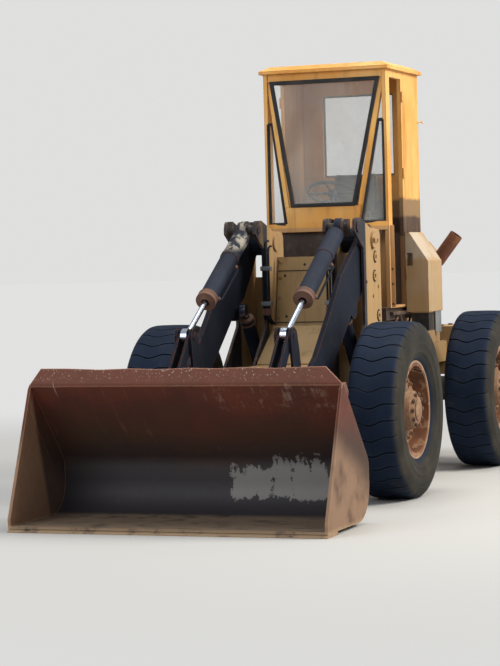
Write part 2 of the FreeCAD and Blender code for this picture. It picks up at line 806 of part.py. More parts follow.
def make_levers():
    """Each side's pair of levers on one pin through the arm, with stubs that carry the links."""
    plates = []
    for sign in (1, -1):
        start = S.tilt_x + stack(1) if sign > 0 else S.tilt_x - stack(1) - S.lever_thick
        plates.append(pin_plate("lever_plate", LEVER_PIN, CRANK_PIN, Size.of(150), Size.of(116),
                                start + S.lever_thick / 2, S.lever_thick))
        low = S.tilt_x + stack(0) if sign > 0 else S.tilt_x - stack(1) - S.lever_thick - 6
        high = S.tilt_x + stack(1) + S.lever_thick + 6 if sign > 0 else S.tilt_x - stack(0)
        plates.append(rod("lever_stub", "x", low, high, CRANK_PIN, S.crank_pin_radius))
    pin = rod("lever_pin", "x", S.tilt_x - stack(1) - S.lever_thick - 6, S.arm_x + S.arm_thick / 2 + 8,
              LEVER_PIN, S.lever_pin_radius)
    node("tilt_levers", both("tilt_levers", fuse("lever_side", pin, *plates)))


def make_links():
    """Each side's pair of link bars, from the levers' stubs to the bucket's ears."""
    bars = []
    for sign in (1, -1):
        start = S.tilt_x + stack(0) if sign > 0 else S.tilt_x - stack(0) - S.link_thick
        bars.append(pin_plate("link_bar", CRANK_PIN, LINK_PIN, S.link_wide, S.link_wide,
                              start + S.link_thick / 2, S.link_thick,
                              [(CRANK_PIN, S.crank_pin_radius + S.running_gap)]))
    pair = group("link_side", *bars)
    node("tilt_links", both("tilt_links", pair))


def cylinder(name, x, base, eye, barrel, rod_radius, pin_radius, travel, plane="upright", collars=()):
    """A hydraulic cylinder's barrel and rod along the line from its base pin to its rod's eye."""
    radius, long, gland_radius, gland_long = barrel
    run, rise = eye[0] - base[0], eye[1] - base[1]
    reach = length_of(run, rise)
    bore = rod_radius + S.running_gap
    eye_radius, cap = pin_radius + 26, pin_radius + 34
    tube = turned(name + "_tube", "XY_Plane", [
        (cap - 6, 0), (cap + 24, 0), (cap + 24, bore), (long, bore), (long, gland_radius),
        (long - gland_long, gland_radius), (long - gland_long, radius), (cap + 39, radius),
        (cap - 6, S.eye_half - 3)])
    foot = rod(name + "_foot", "z", -S.eye_half, S.eye_half, (0, 0), cap)
    bored = rod(name + "_bore", "z", -S.eye_half - 5, S.eye_half + 5, (0, 0), pin_radius + S.running_gap)
    rings = [turned(name + "_collar", "XY_Plane", [(along - 18, radius - 4), (along + 18, radius - 4),
                                                   (along + 18, gland_radius), (along - 18, gland_radius)])
             for along in collars]
    barrel_shape = cut(name + "_barrel", fuse(name + "_outside", tube, foot, *rings), bored)
    stem = turned(name + "_stem", "XY_Plane", [
        (long - travel - 30, 0), (reach - eye_radius + 8, 0), (reach - eye_radius + 8, rod_radius),
        (long - travel - 30, rod_radius)])
    head = rod(name + "_head", "z", -S.eye_half, S.eye_half, (reach, 0), eye_radius)
    rod_shape = fuse(name + "_rod", stem, head)
    return [stand(piece, x, base, run, rise, plane) for piece in (barrel_shape, rod_shape)]


def stand(piece, x, base, run, rise, plane):
    """Turn a piece drawn along +X about +Z into the upright side plane, or leave it level."""
    angle = angle_of(run, rise)
    if plane == "level":
        return place(piece, base[0], base[1], x, (0, 0, 1), angle)
    upright = doc.addObject("Part::Compound", piece.Name + "_upright")
    upright.Links = [piece]
    place(upright, axis=(1, 1, 1), angle=Size.of(120))
    whole = doc.addObject("Part::Compound", piece.Name + "_set")
    whole.Links = [upright]
    return place(whole, x, base[0], base[1], (1, 0, 0), angle)


def make_tilt_and_lift_cylinders():
    tilt_barrel = (S.tilt_barrel_radius, S.tilt_barrel_long, S.tilt_gland_radius, S.tilt_gland_long)
    tilt = cylinder("tilt", S.tilt_x, TILT_PIN, CRANK_PIN, tilt_barrel, S.tilt_rod_radius,
                    S.tilt_pin_radius, S.tilt_travel, collars=(S.tilt_collar,))
    lift_barrel = (S.lift_barrel_radius, S.lift_barrel_long, S.lift_barrel_radius + 5, Size.of(50))
    lift = cylinder("lift", S.lift_x, LIFT_BASE, LIFT_EYE, lift_barrel, S.lift_rod_radius,
                    S.lift_pin_radius, S.lift_travel)
    for pair, what in ((tilt, "tilt"), (lift, "lift")):
        for piece, kind in zip(pair, ("barrels", "rods")):
            node("%s_%s" % (what, kind), both("%s_%s" % (what, kind), piece))


def make_steering_cylinders():
    base, eye = (S.steer_base_x, back(S.steer_base_y)), (S.steer_eye_x, back(S.steer_eye_y))
    tube = (S.steer_barrel_radius, S.steer_barrel_long, S.steer_barrel_radius + 4, Size.of(40))
    barrel, stem = cylinder("steer", S.steer_z, base, eye, tube, S.steer_rod_radius, S.steer_pin_radius,
                            S.steer_travel, plane="level")
    node("steer_barrel_left", barrel)
    node("steer_rod_left", stem)
    node("steer_barrel_right", mirrored(barrel))
    node("steer_rod_right", mirrored(stem))


def bucket_outline(inset):
    """The bucket's side profile, moved in by a plate's thickness."""
    lean, long = S.bucket_back_lean, S.bucket_back_long
    y, z, low = back(S.bucket_back_y), S.bucket_bend_z, S.edge_thick
    top = (y - long * sine(lean), z + long * cosine(lean))
    return [(LIP + 14, low + inset), (y - inset, low + inset), (y - inset, z - inset * tangent(lean / 2)),
            (top[0] - inset * cosine(lean), top[1] - inset * sine(lean))]


# The dents in the guard's top edge, from left to right: share of the half width, depth.
GUARD_DENTS = ((0.76, 3), (0.60, 9), (0.41, 2), (0.22, 8), (0.05, 3), (-0.14, 11), (-0.33, 4),
               (-0.52, 10), (-0.74, 1))


def make_bucket():
    """Floor and back in one bent plate, two end plates, the guard, the stiffeners and the ears."""
    half, side = S.bucket_width / 2, S.bucket_side_plate
    outer, inner = bucket_outline(Size.of(0)), bucket_outline(S.bucket_plate)
    heel, bend = S.bucket_heel_radius, S.bucket_bend_radius
    shell = plate("bucket_sheet", "YZ_Plane", outer + inner[::-1], side / 2 - half, S.bucket_width - side,
                  rounds=[(heel, (1,)), (heel - S.bucket_plate, (6,)),
                          (bend, (2,)), (bend - S.bucket_plate, (5,))])
    top, bend_at = outer[3], outer[2]
    end_outline = outer + [(top[0] - 26, top[1] - 30), (LIP + 10, S.edge_thick + 60)]
    end = plate("bucket_end", "YZ_Plane", end_outline, half - side, side, rounds=[(heel, (1,)), (bend, (2,))])
    guard = new_body("bucket_guard")
    sketch = new_sketch(guard, "XZ_Plane")
    worn_edge = [(half * share, S.guard_high - dip) for share, dip in GUARD_DENTS]
    draw(sketch, [(-half + 12, -14), (half - 12, -14), (half - 12, 6), (half - S.guard_corner, S.guard_high),
                  *worn_edge, (-half + S.guard_corner, S.guard_high), (-half + 12, 6)])
    pad = guard.newObject("PartDesign::Pad", "bucket_guard_pad")
    pad.Profile = sketch
    bind(pad, "Length", S.guard_thick)
    place(guard, 0, top[0], top[1], (1, 0, 0), S.guard_lean)
    lean = S.bucket_back_lean

    def on_back(up, off):
        """A point up the bucket's back from its bend, and off its outer face."""
        return (bend_at[0] - up * sine(lean) + off * cosine(lean),
                bend_at[1] + up * cosine(lean) + off * sine(lean))

    channel = plate("bucket_channel", "YZ_Plane",
                    [on_back(S.bucket_back_long - 30, -2), on_back(S.bucket_back_long - 190, -2),
                     on_back(S.bucket_back_long - 160, 80), on_back(S.bucket_back_long - 70, 80)],
                    -half + side, S.bucket_width - side * 2, rounds=[(20, (2, 3))])
    doubler = plate("end_doubler", "YZ_Plane",
                    [(top[0] + 20, top[1] - 50), (bend_at[0] - 60, bend_at[1] + 10),
                     (bend_at[0] - 190, bend_at[1] - 40), (top[0] - 40, top[1] - 180)],
                    half - side - 1, side + 1)
    y, z = BUCKET_PIN
    foot = [(back(S.bucket_back_y) - 4, z - 105), (y, z - 95), (y + 95, z)]
    head = [(LINK_PIN[0] + 70, LINK_PIN[1] + 20), (LINK_PIN[0] + 10, LINK_PIN[1] + 72), on_back(390, -4)]
    inner_x = S.tilt_x - stack(1) - 2
    middle_x = S.tilt_x + stack(1) + 2
    outer_x = S.arm_x + S.arm_thick / 2 + 7
    ears = [plate("inner_ear", "YZ_Plane",
                  [on_back(40, -4), (LINK_PIN[0] + 50, LINK_PIN[1] - 130), *head],
                  inner_x - S.ear_thick + 4, S.ear_thick - 4, rounds=[(50, (2, 3))]),
            plate("middle_ear", "YZ_Plane", [*foot, *head, on_back(0, -4)],
                  middle_x + 2, S.ear_thick, rounds=[(80, (1, 2)), (50, (3, 4))]),
            plate("outer_ear", "YZ_Plane", [*foot, (y + 60, z + 110), on_back(170, -4), on_back(0, -4)],
                  outer_x, S.ear_thick, rounds=[(80, (1, 2))]),
            rod("link_boss", "x", inner_x - 1, S.tilt_x - stack(0) - S.link_thick - 1, LINK_PIN, 34),
            rod("link_boss", "x", S.tilt_x + stack(0) + S.link_thick + 1, middle_x + 3, LINK_PIN, 34),
            rod("bucket_pin", "x", middle_x - 4, outer_x + S.ear_thick + 10, BUCKET_PIN, S.bucket_pin_radius)]
    ear_side = fuse("ear_side", *ears)
    end_side = fuse("end_side", end, doubler)
    node("bucket", fuse("bucket", shell, guard, channel, end_side, mirrored(end_side),
                        ear_side, mirrored(ear_side)))
    node("cutting_edge", plate("cutting_edge", "YZ_Plane",
                               [(LIP, Size.of(0)), (LIP + S.edge_long, Size.of(0)),
                                (LIP + S.edge_long, S.edge_thick - S.running_gap),
                                (LIP + 26, S.edge_thick - S.running_gap), (LIP, Size.of(8))],
                               -half, S.bucket_width))


def make_rear_frame():
    """Two deep rails, their cross members, the hitch eye and the hangers of the swinging axle."""
    half, low, high = S.rear_rail_plate / 2, S.rear_rail_low_z, S.rear_rail_high_z
    rail_x, rail_end = S.rear_rail_x, REAR_END - S.weight_long - 1
    rail = plate("rear_rail", "XY_Plane",
                 [(rail_x - half - 110, HITCH + 175), (rail_x - half - 64, HITCH + 160),
                  (rail_x + half, HITCH + 330), (rail_x + half, rail_end),
                  (rail_x - half, rail_end), (rail_x - half, HITCH + 345)], low, high - low)
    inside = rail_x - half + 1
    cross = [box("rear_cross", (-inside, inside), (y, y + 60), (low + 10, high - 10))
             for y in (REAR_AXLE + 350, rail_end - 139)]
    hanger_outline = [(-inside, high - 10), (-inside, low), (-130, S.tyre_radius - 110),
                      (130, S.tyre_radius - 110), (inside, low), (inside, high - 10)]
    journal_hole = ((0, S.tyre_radius), S.oscillation_radius + S.running_gap)
    hangers = [plate("axle_hanger", "XZ_Plane", hanger_outline, REAR_AXLE + offset, 60, holes=[journal_hole])
               for offset in (-300, 240)]
    eye_low, eye_high = S.hitch_low_z + S.hitch_plate + 5, S.hitch_high_z - 5
    eye = rod("hitch_tube", "z", eye_low, eye_high, (0, HITCH), S.hitch_eye_radius)
    web_outline = level_outline(Size.of(80), HITCH + 40, HITCH + 185, Size.of(150))
    web = loft("hitch_web", (eye_low, web_outline), (eye_high, web_outline))
    throat, wall = rail_x - half - 70, (HITCH + 165, HITCH + 215)
    bulk = [box("hitch_bulkhead", (-throat, throat), wall, (low - 20, high - 2)),
            box("hitch_throat", (-165, 165), wall, (eye_low, low))]
    bore = rod("hitch_bore", "z", eye_low - 10, eye_high + 10, (0, HITCH), S.hitch_pin_radius + S.running_gap)
    lug_x, lug_y, lug_top = S.steer_base_x, back(S.steer_base_y), S.steer_z - S.eye_half - S.stack_gap
    lug = plate("steer_lug", "XY_Plane",
                [(lug_x - 50, lug_y - 45), (lug_x + 50, lug_y - 45), (lug_x + 40, lug_y + 88),
                 (lug_x - 40, lug_y + 88)], lug_top - 24, 24)
    post = box("steer_post", (lug_x - 40, lug_x + 40), (lug_y + 58, lug_y + 88), (lug_top - 24, low + 1))
    lug_pin = rod("steer_base_pin", "z", lug_top - 1, S.steer_z + S.eye_half + 8, (lug_x, lug_y),
                  S.steer_pin_radius)
    side = fuse("rear_frame_side", rail, lug, post, lug_pin)
    solid = fuse("rear_frame_solid", side, mirrored(side), *bulk, eye, web, *cross, *hangers)
    node("rear_chassis", cut("rear_chassis", solid, bore))


def hood_shell(name, inset, bottom, top):
    """The hood's outside or inside: upright walls with a chamfer along the top."""
    half, front, rear = S.hood_half - inset, back(S.hood_front_y) + inset, back(S.hood_rear_y) - inset
    wall = level_outline(half, front, rear)
    return loft(name, (bottom, wall), (top - 90, wall), (top, level_outline(half - 70, front, rear)))


def make_engine():
    """The engine block, the hood around it with its slots, and the grille of level bars."""
    gap, wall = S.running_gap, S.hood_wall
    node("engine_block", box("engine_block", (-S.engine_half, S.engine_half),
                             (back(S.engine_front_y), back(S.engine_rear_y)),
                             (S.rear_rail_high_z - 10 + gap, S.engine_high_z)))
    low, high, rear = S.rear_rail_high_z + gap, S.hood_top_z, back(S.hood_rear_y)
    skin = cut("hood_skin", hood_shell("hood_outside", Size.of(0), low, high),
               hood_shell("hood_inside", wall, low - 10, high - wall))
    slots = [box("hood_slot", (-S.hood_half - 5, S.hood_half + 5), (rear - 620 + n * 90, rear - 575 + n * 90),
                 (S.hood_low_z + 140, S.hood_low_z + 440)) for n in range(6)]
    open_x, open_z = (70 - S.hood_half, S.hood_half - 70), (low + 120, high - 170)
    opening = box("hood_rear_opening", open_x, (rear - wall - 5, rear + 5), open_z)
    node("engine_hood", cut("engine_hood", skin, opening, *slots))
    grille_end = rear + S.grille_long
    bars = [box("grille_bar", (open_x[0] - 4, open_x[1] + 4), (rear + gap + 4, grille_end - 4),
                (low + 120 + n * 54, low + 142 + n * 54)) for n in range(grille_bars)]
    frame_out = box("grille_frame", (open_x[0] - 40, open_x[1] + 40), (rear + gap, grille_end),
                    (low + 80, high - 130))
    frame_in = box("grille_space", open_x, (rear - 5, grille_end + 5), open_z)
    node("radiator_grille", fuse("radiator_grille", cut("grille_ring", frame_out, frame_in), *bars))


def make_counterweight():
    """The cast weight across the tail, with a slot and a pin's hole for a drawbar."""
    half, front = S.weight_half, REAR_END - S.weight_long
    wide = level_outline(half, front, REAR_END, half - 60)
    block = loft("weight_block", (S.weight_low_z, level_outline(half - 90, front, REAR_END - 30)),
                 (S.weight_low_z + 160, wide), (S.weight_high_z, wide))
    slot = box("tow_slot", (-S.tow_slot_half, S.tow_slot_half), (REAR_END - 105, REAR_END + 10),
               (S.tow_slot_z, S.tow_slot_z + S.tow_slot_high))
    hole = rod("tow_hole", "z", S.weight_low_z - 10, S.weight_high_z + 10,
               (0, REAR_END - S.tow_pin_in), S.tow_pin_radius)
    node("counterweight", cut("counterweight", block, slot, hole))


def make_cab_frame():
    """Side walls with their doorways, back wall, leaning pillars, header, sill and apron."""
    half, wall, deep = S.cab_half, S.cab_wall, 46
    front, rear, sill, eave = back(S.cab_front_y), back(S.cab_rear_y), S.cab_sill_z, S.cab_eave_z
    low_y, high_y, screen = back(S.screen_low_y), back(S.screen_high_y), S.screen_low_half
    doorway = [(back(y), z) for y, z in ((S.door_front_y, S.door_low_z), (S.door_rear_y, S.door_low_z),
                                         (S.door_rear_y, S.door_high_z), (S.door_front_y, S.door_high_z))]
    side = plate("cab_side", "YZ_Plane",
                 [(front, S.cab_floor_z), (rear, S.cab_floor_z), (rear, eave), (front, eave)],
                 half - wall, wall, cuts=[doorway])
    window = level_outline(S.rear_window_half, S.rear_window_low_z, S.rear_window_high_z)
    back_wall = plate("cab_back", "XZ_Plane", level_outline(half - wall + 1, S.cab_floor_z, eave),
                      rear - wall, wall, cuts=[window])

    def pillar_at(x, y):
        return [(x, y), (x + S.pillar_wide, y + 12), (x + S.pillar_wide, y + deep), (x, y + deep - 12)]

    def sill_at(lip):
        return [(-screen - 10, low_y - lip), (screen + 10, low_y - lip), (half - 2, front),
                (half - 2, front + deep), (2 - half, front + deep), (2 - half, front)]

    pillar = loft("cab_pillar", (sill - 40, pillar_at(screen - 22, low_y - 12)),
                  (eave, pillar_at(S.screen_high_half + 12, high_y + 8)))
    header = loft("cab_header", (S.screen_high_z + 6, level_outline(half - 4, high_y, high_y + deep)),
                  (eave, level_outline(half - 4, high_y + 7, high_y + deep + 7)))
    sill_bar = loft("cab_sill_bar", (sill - 60, sill_at(14)), (sill + 8, sill_at(10)))
    apron = loft("cab_apron", (sill + 4, level_outline(screen + 16, low_y - 10, low_y + 20)),
                 (S.screen_low_z - 6, level_outline(screen + 34, low_y, low_y + 30)))
    node("cab_frame", fuse("cab_frame", side, mirrored(side), back_wall, pillar, mirrored(pillar), header,
                           sill_bar, apron))
    over, start = S.roof_overhang, eave + S.running_gap
    brim, crown = [level_outline(half + grow, front - grow, rear + grow) for grow in (over, Size.of(-40))]
    node("cab_roof", loft("cab_roof", (start, brim), (eave + 26, brim), (eave + S.roof_thick, crown)))


def make_windows():
    """The windscreen, narrow below and wide above, the rear window and the two quarter windows."""
    half, wall, gap = S.cab_half, S.cab_wall, S.running_gap
    front, rear = back(S.cab_front_y), back(S.cab_rear_y)
    low_y, high_y = back(S.screen_low_y) + 8, back(S.screen_high_y) + 8
    node("windscreen", loft("windscreen",
                            (S.screen_low_z, level_outline(S.screen_low_half - 26, low_y, low_y + 8)),
                            (S.screen_high_z, level_outline(S.screen_high_half, high_y, high_y + 8))))
    window = S.rear_window_half - gap
    node("rear_window", box("rear_glass", (-window, window), (rear - wall / 2 - 4, rear - wall / 2 + 4),
                            (S.rear_window_low_z + gap, S.rear_window_high_z - gap)))

    def quarter_at(x, y):
        edge = half - wall - gap
        return [(x, y), (edge, front + 12), (edge, front + 20), (x, y + 8)]

    quarter = loft("quarter_glass", (S.cab_sill_z + 10, quarter_at(S.screen_low_half + 36, low_y + 10)),
                   (S.quarter_apex_z, quarter_at(half - wall - 34, front + 6)))
    node("quarter_windows", both("quarter_windows", quarter))


def make_cab_base():
    """The floor box on its legs, with the tapered front wall up to the sill."""
    half, front, rear, low = S.base_half, back(S.base_front_y), back(S.cab_rear_y), S.base_low_z
    outside = box("base_outside", (-half, half), (front, rear - 5), (low, S.cab_floor_z - S.running_gap))
    wall = loft("base_wall", (low + 2, level_outline(Size.of(240), front - 30, front + 2)),
                (S.cab_sill_z - 62, level_outline(half - 20, front - 4, front + 22)))
    leg = box("base_leg", (S.rear_rail_x - 20, S.rear_rail_x + 20), (HITCH + 420, rear - 60),
              (S.rear_rail_high_z + S.running_gap, low + 1))
    locker = box("base_locker", (S.locker_inner_x, S.cab_half - S.cab_wall - S.running_gap),
                 (back(S.tank_front_y) + 2, back(S.tank_rear_y)), (low + 40, S.locker_high_z))
    node("cab_base", fuse("cab_base", outside, wall, leg, mirrored(leg), locker, mirrored(locker)))


def make_seat():
    """The seat's pedestal, cushion and leaning back."""
    half, gap, middle = S.seat_half, S.running_gap, back(S.cab_rear_y) - 290
    cushion_z = S.cab_floor_z + S.seat_high + gap
    back_z = cushion_z + S.cushion_thick + gap
    node("seat_base", box("seat_pedestal", (-150, 150), (middle - 150, middle + 130),
                          (S.cab_floor_z, S.cab_floor_z + S.seat_high)))
    node("seat_cushion", box("seat_cushion", (-half, half), (middle - 270, middle + 150),
                             (cushion_z, cushion_z + S.cushion_thick)))
    head = level_outline(half - 50, middle + 150, middle + 215)
    node("seat_back", loft("seat_back", (back_z, level_outline(half - 10, middle + 70, middle + 150)),
                           (cushion_z + S.seat_back_high, head)))


def make_steering_wheel():
    """The console inside the front of the cab, and the wheel with its column and spokes."""
    front, sill = back(S.cab_front_y), S.cab_sill_z
    node("steering_console", loft("steering_console",
                                  (S.cab_floor_z, level_outline(Size.of(160), front + 60, front + 160)),
                                  (sill + 60, level_outline(Size.of(120), front + 50, front + 110))))
    ring = doc.addObject("Part::Torus", "wheel_ring")
    bind(ring, "Radius1", S.wheel_rim_radius)
    bind(ring, "Radius2", S.wheel_grip_radius)
    reach = S.wheel_rim_radius
    spokes = [rod("wheel_spoke", axis, -reach, reach, (0, 0), 9) for axis in ("y", "x")]
    wheel = fuse("steering_wheel", ring, rod("wheel_column", "z", -182, 4, (0, 0), 20),
                 rod("wheel_hub", "z", -22, 14, (0, 0), 38), *spokes)
    node("steering_wheel", place(wheel, 0, front + 150, sill + 240, (1, 0, 0), Size.of(-24)))


def make_sides():
    """The tank beside each side of the cab, sloped along its top, with a hand hole in its front."""
    front, long = back(S.tank_front_y), S.tank_rear_y - S.tank_front_y
    inner, outer = S.tank_inner_x, S.tank_outer_x
    low, high, shoulder_z = S.tank_low_z, S.tank_high_z, S.tank_shoulder_z
    tank = plate("tank", "XZ_Plane", [(inner, low), (outer, low), (outer, shoulder_z), (inner + 30, high),
                                      (inner, high)], front, long)
    skirt = box("tank_skirt", (inner + 20, outer - 20), (front + 60, front + long - 40), (low - 150, low + 1))
    hand_hole = box("hand_hole", (inner + 12, inner + 58), (front - 5, front + 70), (high - 264, high - 165))
    bracket = box("tank_bracket", (S.base_half + S.running_gap, inner + 21),
                  (front + 70, front + 230), (low - 45, low - 5))
    side = cut("tank_side", fuse("tank_whole", tank, skirt, bracket), hand_hole)
    node("side_tanks", both("side_tanks", side))


def make_exhaust():
    """A duct out of the hood's left side, and its pipe that rises outwards to an open mouth."""
    radius, long, start = S.exhaust_radius, S.exhaust_long, S.hood_half + S.running_gap
    y, z, bend = back(S.exhaust_y), S.exhaust_z, S.exhaust_bend_x
    flange = rod("exhaust_flange", "x", start, start + 12, (y, z), radius + 28)
    duct = rod("exhaust_duct", "x", start, bend, (y, z), radius)
    knee = place(doc.addObject("Part::Sphere", "exhaust_knee"), bend, y, z)
    bind(knee, "Radius", radius)
    mouth, bore = long - 90, radius - 7
    pipe = turned("exhaust_pipe", "XY_Plane", [(0, 0), (mouth, 0), (mouth, bore), (long, bore),
                                               (long, radius), (0, radius)])
    place(pipe, bend, y, z, (0, 1, 0), -S.exhaust_rise)
    node("exhaust_stack", fuse("exhaust_stack", flange, duct, knee, pipe))


def check_and_write():
    """Stop on a failed object or shape, and write each sub-part."""
    doc.recompute()
    failed = [o.Name for o in doc.Objects if "Invalid" in o.State or "Error" in o.State]
    if failed:
        raise RuntimeError("failed objects: " + ", ".join(failed))
    os.makedirs("parts", exist_ok=True)
    for thing in NODES:
        shape = thing.Shape
        if shape.isNull() or not shape.isValid() or not shape.Solids:
            raise RuntimeError("bad shape: " + thing.Label)
        shape.exportStep("parts/%s.step" % thing.Label)
        print("%-20s %2d solids  %8.1f l" % (thing.Label, len(shape.Solids), shape.Volume / 1e6))


make_wheels()
make_axles()
make_front_frame()
make_towers()
make_front_cover()
make_arms()
make_levers()
make_links()
make_tilt_and_lift_cylinders()
make_steering_cylinders()
make_bucket()
make_rear_frame()
make_engine()
make_counterweight()
make_cab_frame()
make_windows()
make_cab_base()
make_seat()
make_steering_wheel()
make_sides()
make_exhaust()
check_and_write()
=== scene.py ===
"""The looks of an old wheel loader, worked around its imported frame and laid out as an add-on."""
import json
import math

import bpy
from bpy.props import FloatProperty, FloatVectorProperty, IntProperty, PointerProperty
from mathutils import Matrix, Vector


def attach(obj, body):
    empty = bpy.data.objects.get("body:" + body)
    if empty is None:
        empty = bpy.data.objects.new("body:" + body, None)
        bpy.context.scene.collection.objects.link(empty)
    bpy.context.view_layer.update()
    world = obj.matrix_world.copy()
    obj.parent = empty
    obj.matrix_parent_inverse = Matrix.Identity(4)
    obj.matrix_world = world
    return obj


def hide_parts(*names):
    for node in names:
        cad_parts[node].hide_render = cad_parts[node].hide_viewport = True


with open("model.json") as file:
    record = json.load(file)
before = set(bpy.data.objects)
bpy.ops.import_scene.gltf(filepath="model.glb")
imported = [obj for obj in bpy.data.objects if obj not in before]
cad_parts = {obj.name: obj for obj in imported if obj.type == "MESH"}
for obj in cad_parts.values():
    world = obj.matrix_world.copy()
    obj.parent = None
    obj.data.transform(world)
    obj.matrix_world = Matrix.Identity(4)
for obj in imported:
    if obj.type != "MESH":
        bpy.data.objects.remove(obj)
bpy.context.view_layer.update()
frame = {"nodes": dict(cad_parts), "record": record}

bl_info = {
    "name": "Old wheel loader",
    "version": (1, 0, 0),
    "blender": (4, 5, 0),
    "location": "View3D > Sidebar > Loader",
    "description": "Finishes and detail pieces of an articulated wheel loader",
    "category": "Object",
}

JOINTS = {joint["name"]: joint for joint in frame["record"]["behaviour"]["joints"]}
HALF_TRACK, FRONT_AXLE, AXLE_HEIGHT = JOINTS["roll_front_left"]["pos_m"]
REAR_AXLE = JOINTS["roll_rear_left"]["pos_m"][1]
WHEELS = (("front_left", 1, FRONT_AXLE), ("front_right", -1, FRONT_AXLE),
          ("rear_left", 1, REAR_AXLE), ("rear_right", -1, REAR_AXLE))
SIDES = ((1, "left"), (-1, "right"))
FULL_TURN = 2 * math.pi


def aft(distance):
    """A place along the machine, told rearwards from the front axle."""
    return FRONT_AXLE + distance


def span(side, near, far):
    """Two distances from the machine's middle as the lower and the higher X on one side."""
    return sorted((side * near, side * far))


def box_of(node):
    """The lowest and the highest corner of one node of the frame."""
    spots = [vertex.co for vertex in frame["nodes"][node].data.vertices]
    return [Vector(pick(spot[axis] for spot in spots) for axis in range(3)) for pick in (min, max)]


class Wire:
    """A socket's output in shader maths: an operator on it adds its Math node."""

    def __init__(self, finish, socket):
        self.finish = finish
        self.socket = socket

    def maths(self, operation, first, second=0.0, clamp=False):
        return self.finish.add("ShaderNodeMath", {"operation": operation, "use_clamp": clamp},
                               {0: first, 1: second})

    def __add__(self, other):
        return self.maths("ADD", self, other)

    __radd__ = __add__

    def __mul__(self, other):
        return self.maths("MULTIPLY", self, other)

    __rmul__ = __mul__

    def __sub__(self, other):
        return self.maths("SUBTRACT", self, other)

    def __rsub__(self, other):
        return self.maths("SUBTRACT", other, self)

    def __pow__(self, other):
        return self.maths("POWER", self, other)

    def __abs__(self):
        return self.maths("ABSOLUTE", self)

    def least(self, other):
        return self.maths("MINIMUM", self, other)

    def held(self):
        """Kept between nought and one."""
        return self.maths("ADD", self, 0.0, clamp=True)

    def step(self, low, high):
        """Nought below low, one above high, and smooth between."""
        return self.finish.add("ShaderNodeMapRange", {"interpolation_type": "SMOOTHSTEP"},
                               {0: self, 1: low, 2: high, 3: 0.0, 4: 1.0})

    def under(self, low, high):
        """One below low, nought above high, and smooth between."""
        return 1.0 - self.step(low, high)


class Finish:
    """A material under making: its nodes, surface shader, object coordinates and colour so far."""

    def __init__(self, name, **constants):
        self.material = bpy.data.materials.new(name)
        self.material.use_nodes = True
        self.tree = self.material.node_tree
        self.tree.nodes.clear()
        self.surface = self.tree.nodes.new("ShaderNodeBsdfPrincipled")
        output = self.tree.nodes.new("ShaderNodeOutputMaterial")
        self.tree.links.new(self.surface.outputs[0], output.inputs[0])
        for socket, value in constants.items():
            self.surface.inputs[socket.replace("_", " ")].default_value = value
        self.place = self.add("ShaderNodeTexCoord", out="Object")
        parts = self.add("ShaderNodeSeparateXYZ", sockets={0: self.place}).socket.node
        self.x, self.y, self.z = [Wire(self, socket) for socket in parts.outputs]
        self.shade = None

    def add(self, kind, settings=None, sockets=None, out=0):
        """Add a node: its settings come first, then the values or links of its sockets."""
        node = self.tree.nodes.new(kind)
        for name, value in (settings or {}).items():
            setattr(node, name, value)
        for key, value in (sockets or {}).items():
            self.feed(node.inputs[key], value)
        return Wire(self, node.outputs[out])

    def feed(self, socket, value):
        if isinstance(value, Wire):
            self.tree.links.new(value.socket, socket)
        else:
            socket.default_value = value

    def paint(self, **inputs):
        """Feed the surface shader's sockets."""
        for socket, value in inputs.items():
            self.feed(self.surface.inputs[socket.replace("_", " ")], value)
        return self.material

    def clouds(self, scale, detail=4.0, rough=0.55, stretch=(1, 1, 1), shift=(0, 0, 0)):
        """Smooth noise around one half."""
        place = self.add("ShaderNodeMapping", sockets={0: self.place, "Location": shift, "Scale": stretch})
        return self.add("ShaderNodeTexNoise", sockets={
            "Vector": place, "Scale": scale, "Detail": detail, "Roughness": rough})

    def mix(self, amount, first, second):
        """One colour towards another."""
        node = self.add("ShaderNodeMix", {"data_type": "RGBA"}, {0: amount}, out=2).socket.node
        for index, value in ((6, first), (7, second)):
            self.feed(node.inputs[index], value if isinstance(value, Wire) else (*value, 1.0))
        return Wire(self, node.outputs[2])

    def coat(self, mask, colour):
        """Lay a colour over the colour so far, where the mask is one."""
        self.shade = self.mix(mask, self.shade, colour)

    def bump(self, height, strength, distance):
        return self.add("ShaderNodeBump",
                        sockets={"Strength": strength, "Distance": distance, "Height": height})

    def edges(self, radius=0.008):
        """One along the edges of the piece and nought on its flats."""
        rounded = self.add("ShaderNodeBevel", {"samples": 4}, {"Radius": radius})
        flat = self.add("ShaderNodeNewGeometry", out="Normal")
        alike = self.add("ShaderNodeVectorMath", {"operation": "DOT_PRODUCT"}, {0: rounded, 1: flat},
                         out="Value")
        return (1.0 - alike).step(0.01, 0.18)

    def up(self):
        """One on faces that look up."""
        normal = self.add("ShaderNodeNewGeometry", out="Normal")
        return Wire(self, self.add("ShaderNodeSeparateXYZ", sockets={0: normal}).socket.node.outputs[2])


# Colours that don't change with the owner's choice, as linear red, green and blue.
RUST_DARK = (0.045, 0.018, 0.010)
RUST_WARM = (0.23, 0.075, 0.028)
RUST_WORN = (0.060, 0.034, 0.024)
DUST = (0.33, 0.24, 0.15)
FADED_TAN = (0.36, 0.23, 0.11)
BEIGE_WALL = (0.46, 0.25, 0.10)
POST_GREY, POST_BROWN, POST_FOOT = (0.155, 0.105, 0.060), (0.052, 0.028, 0.018), (0.20, 0.105, 0.045)
# TANK_PAINTED_SHADE is painted shade: the near-black of the hollow under the ledge, laid on the side tanks'
# foot.
EAR_BLACK, TANK_PAINTED_SHADE = (0.016, 0.018, 0.026), (0.020, 0.019, 0.020)
BLEACHED, WORN_GREY = (0.50, 0.45, 0.38), (0.30, 0.27, 0.225)
BUCKET_RED, BUCKET_DULL_RED = (0.125, 0.028, 0.014), (0.068, 0.020, 0.012)
BUCKET_BROWN, BUCKET_WARM_BROWN = (0.034, 0.018, 0.013), (0.074, 0.034, 0.020)
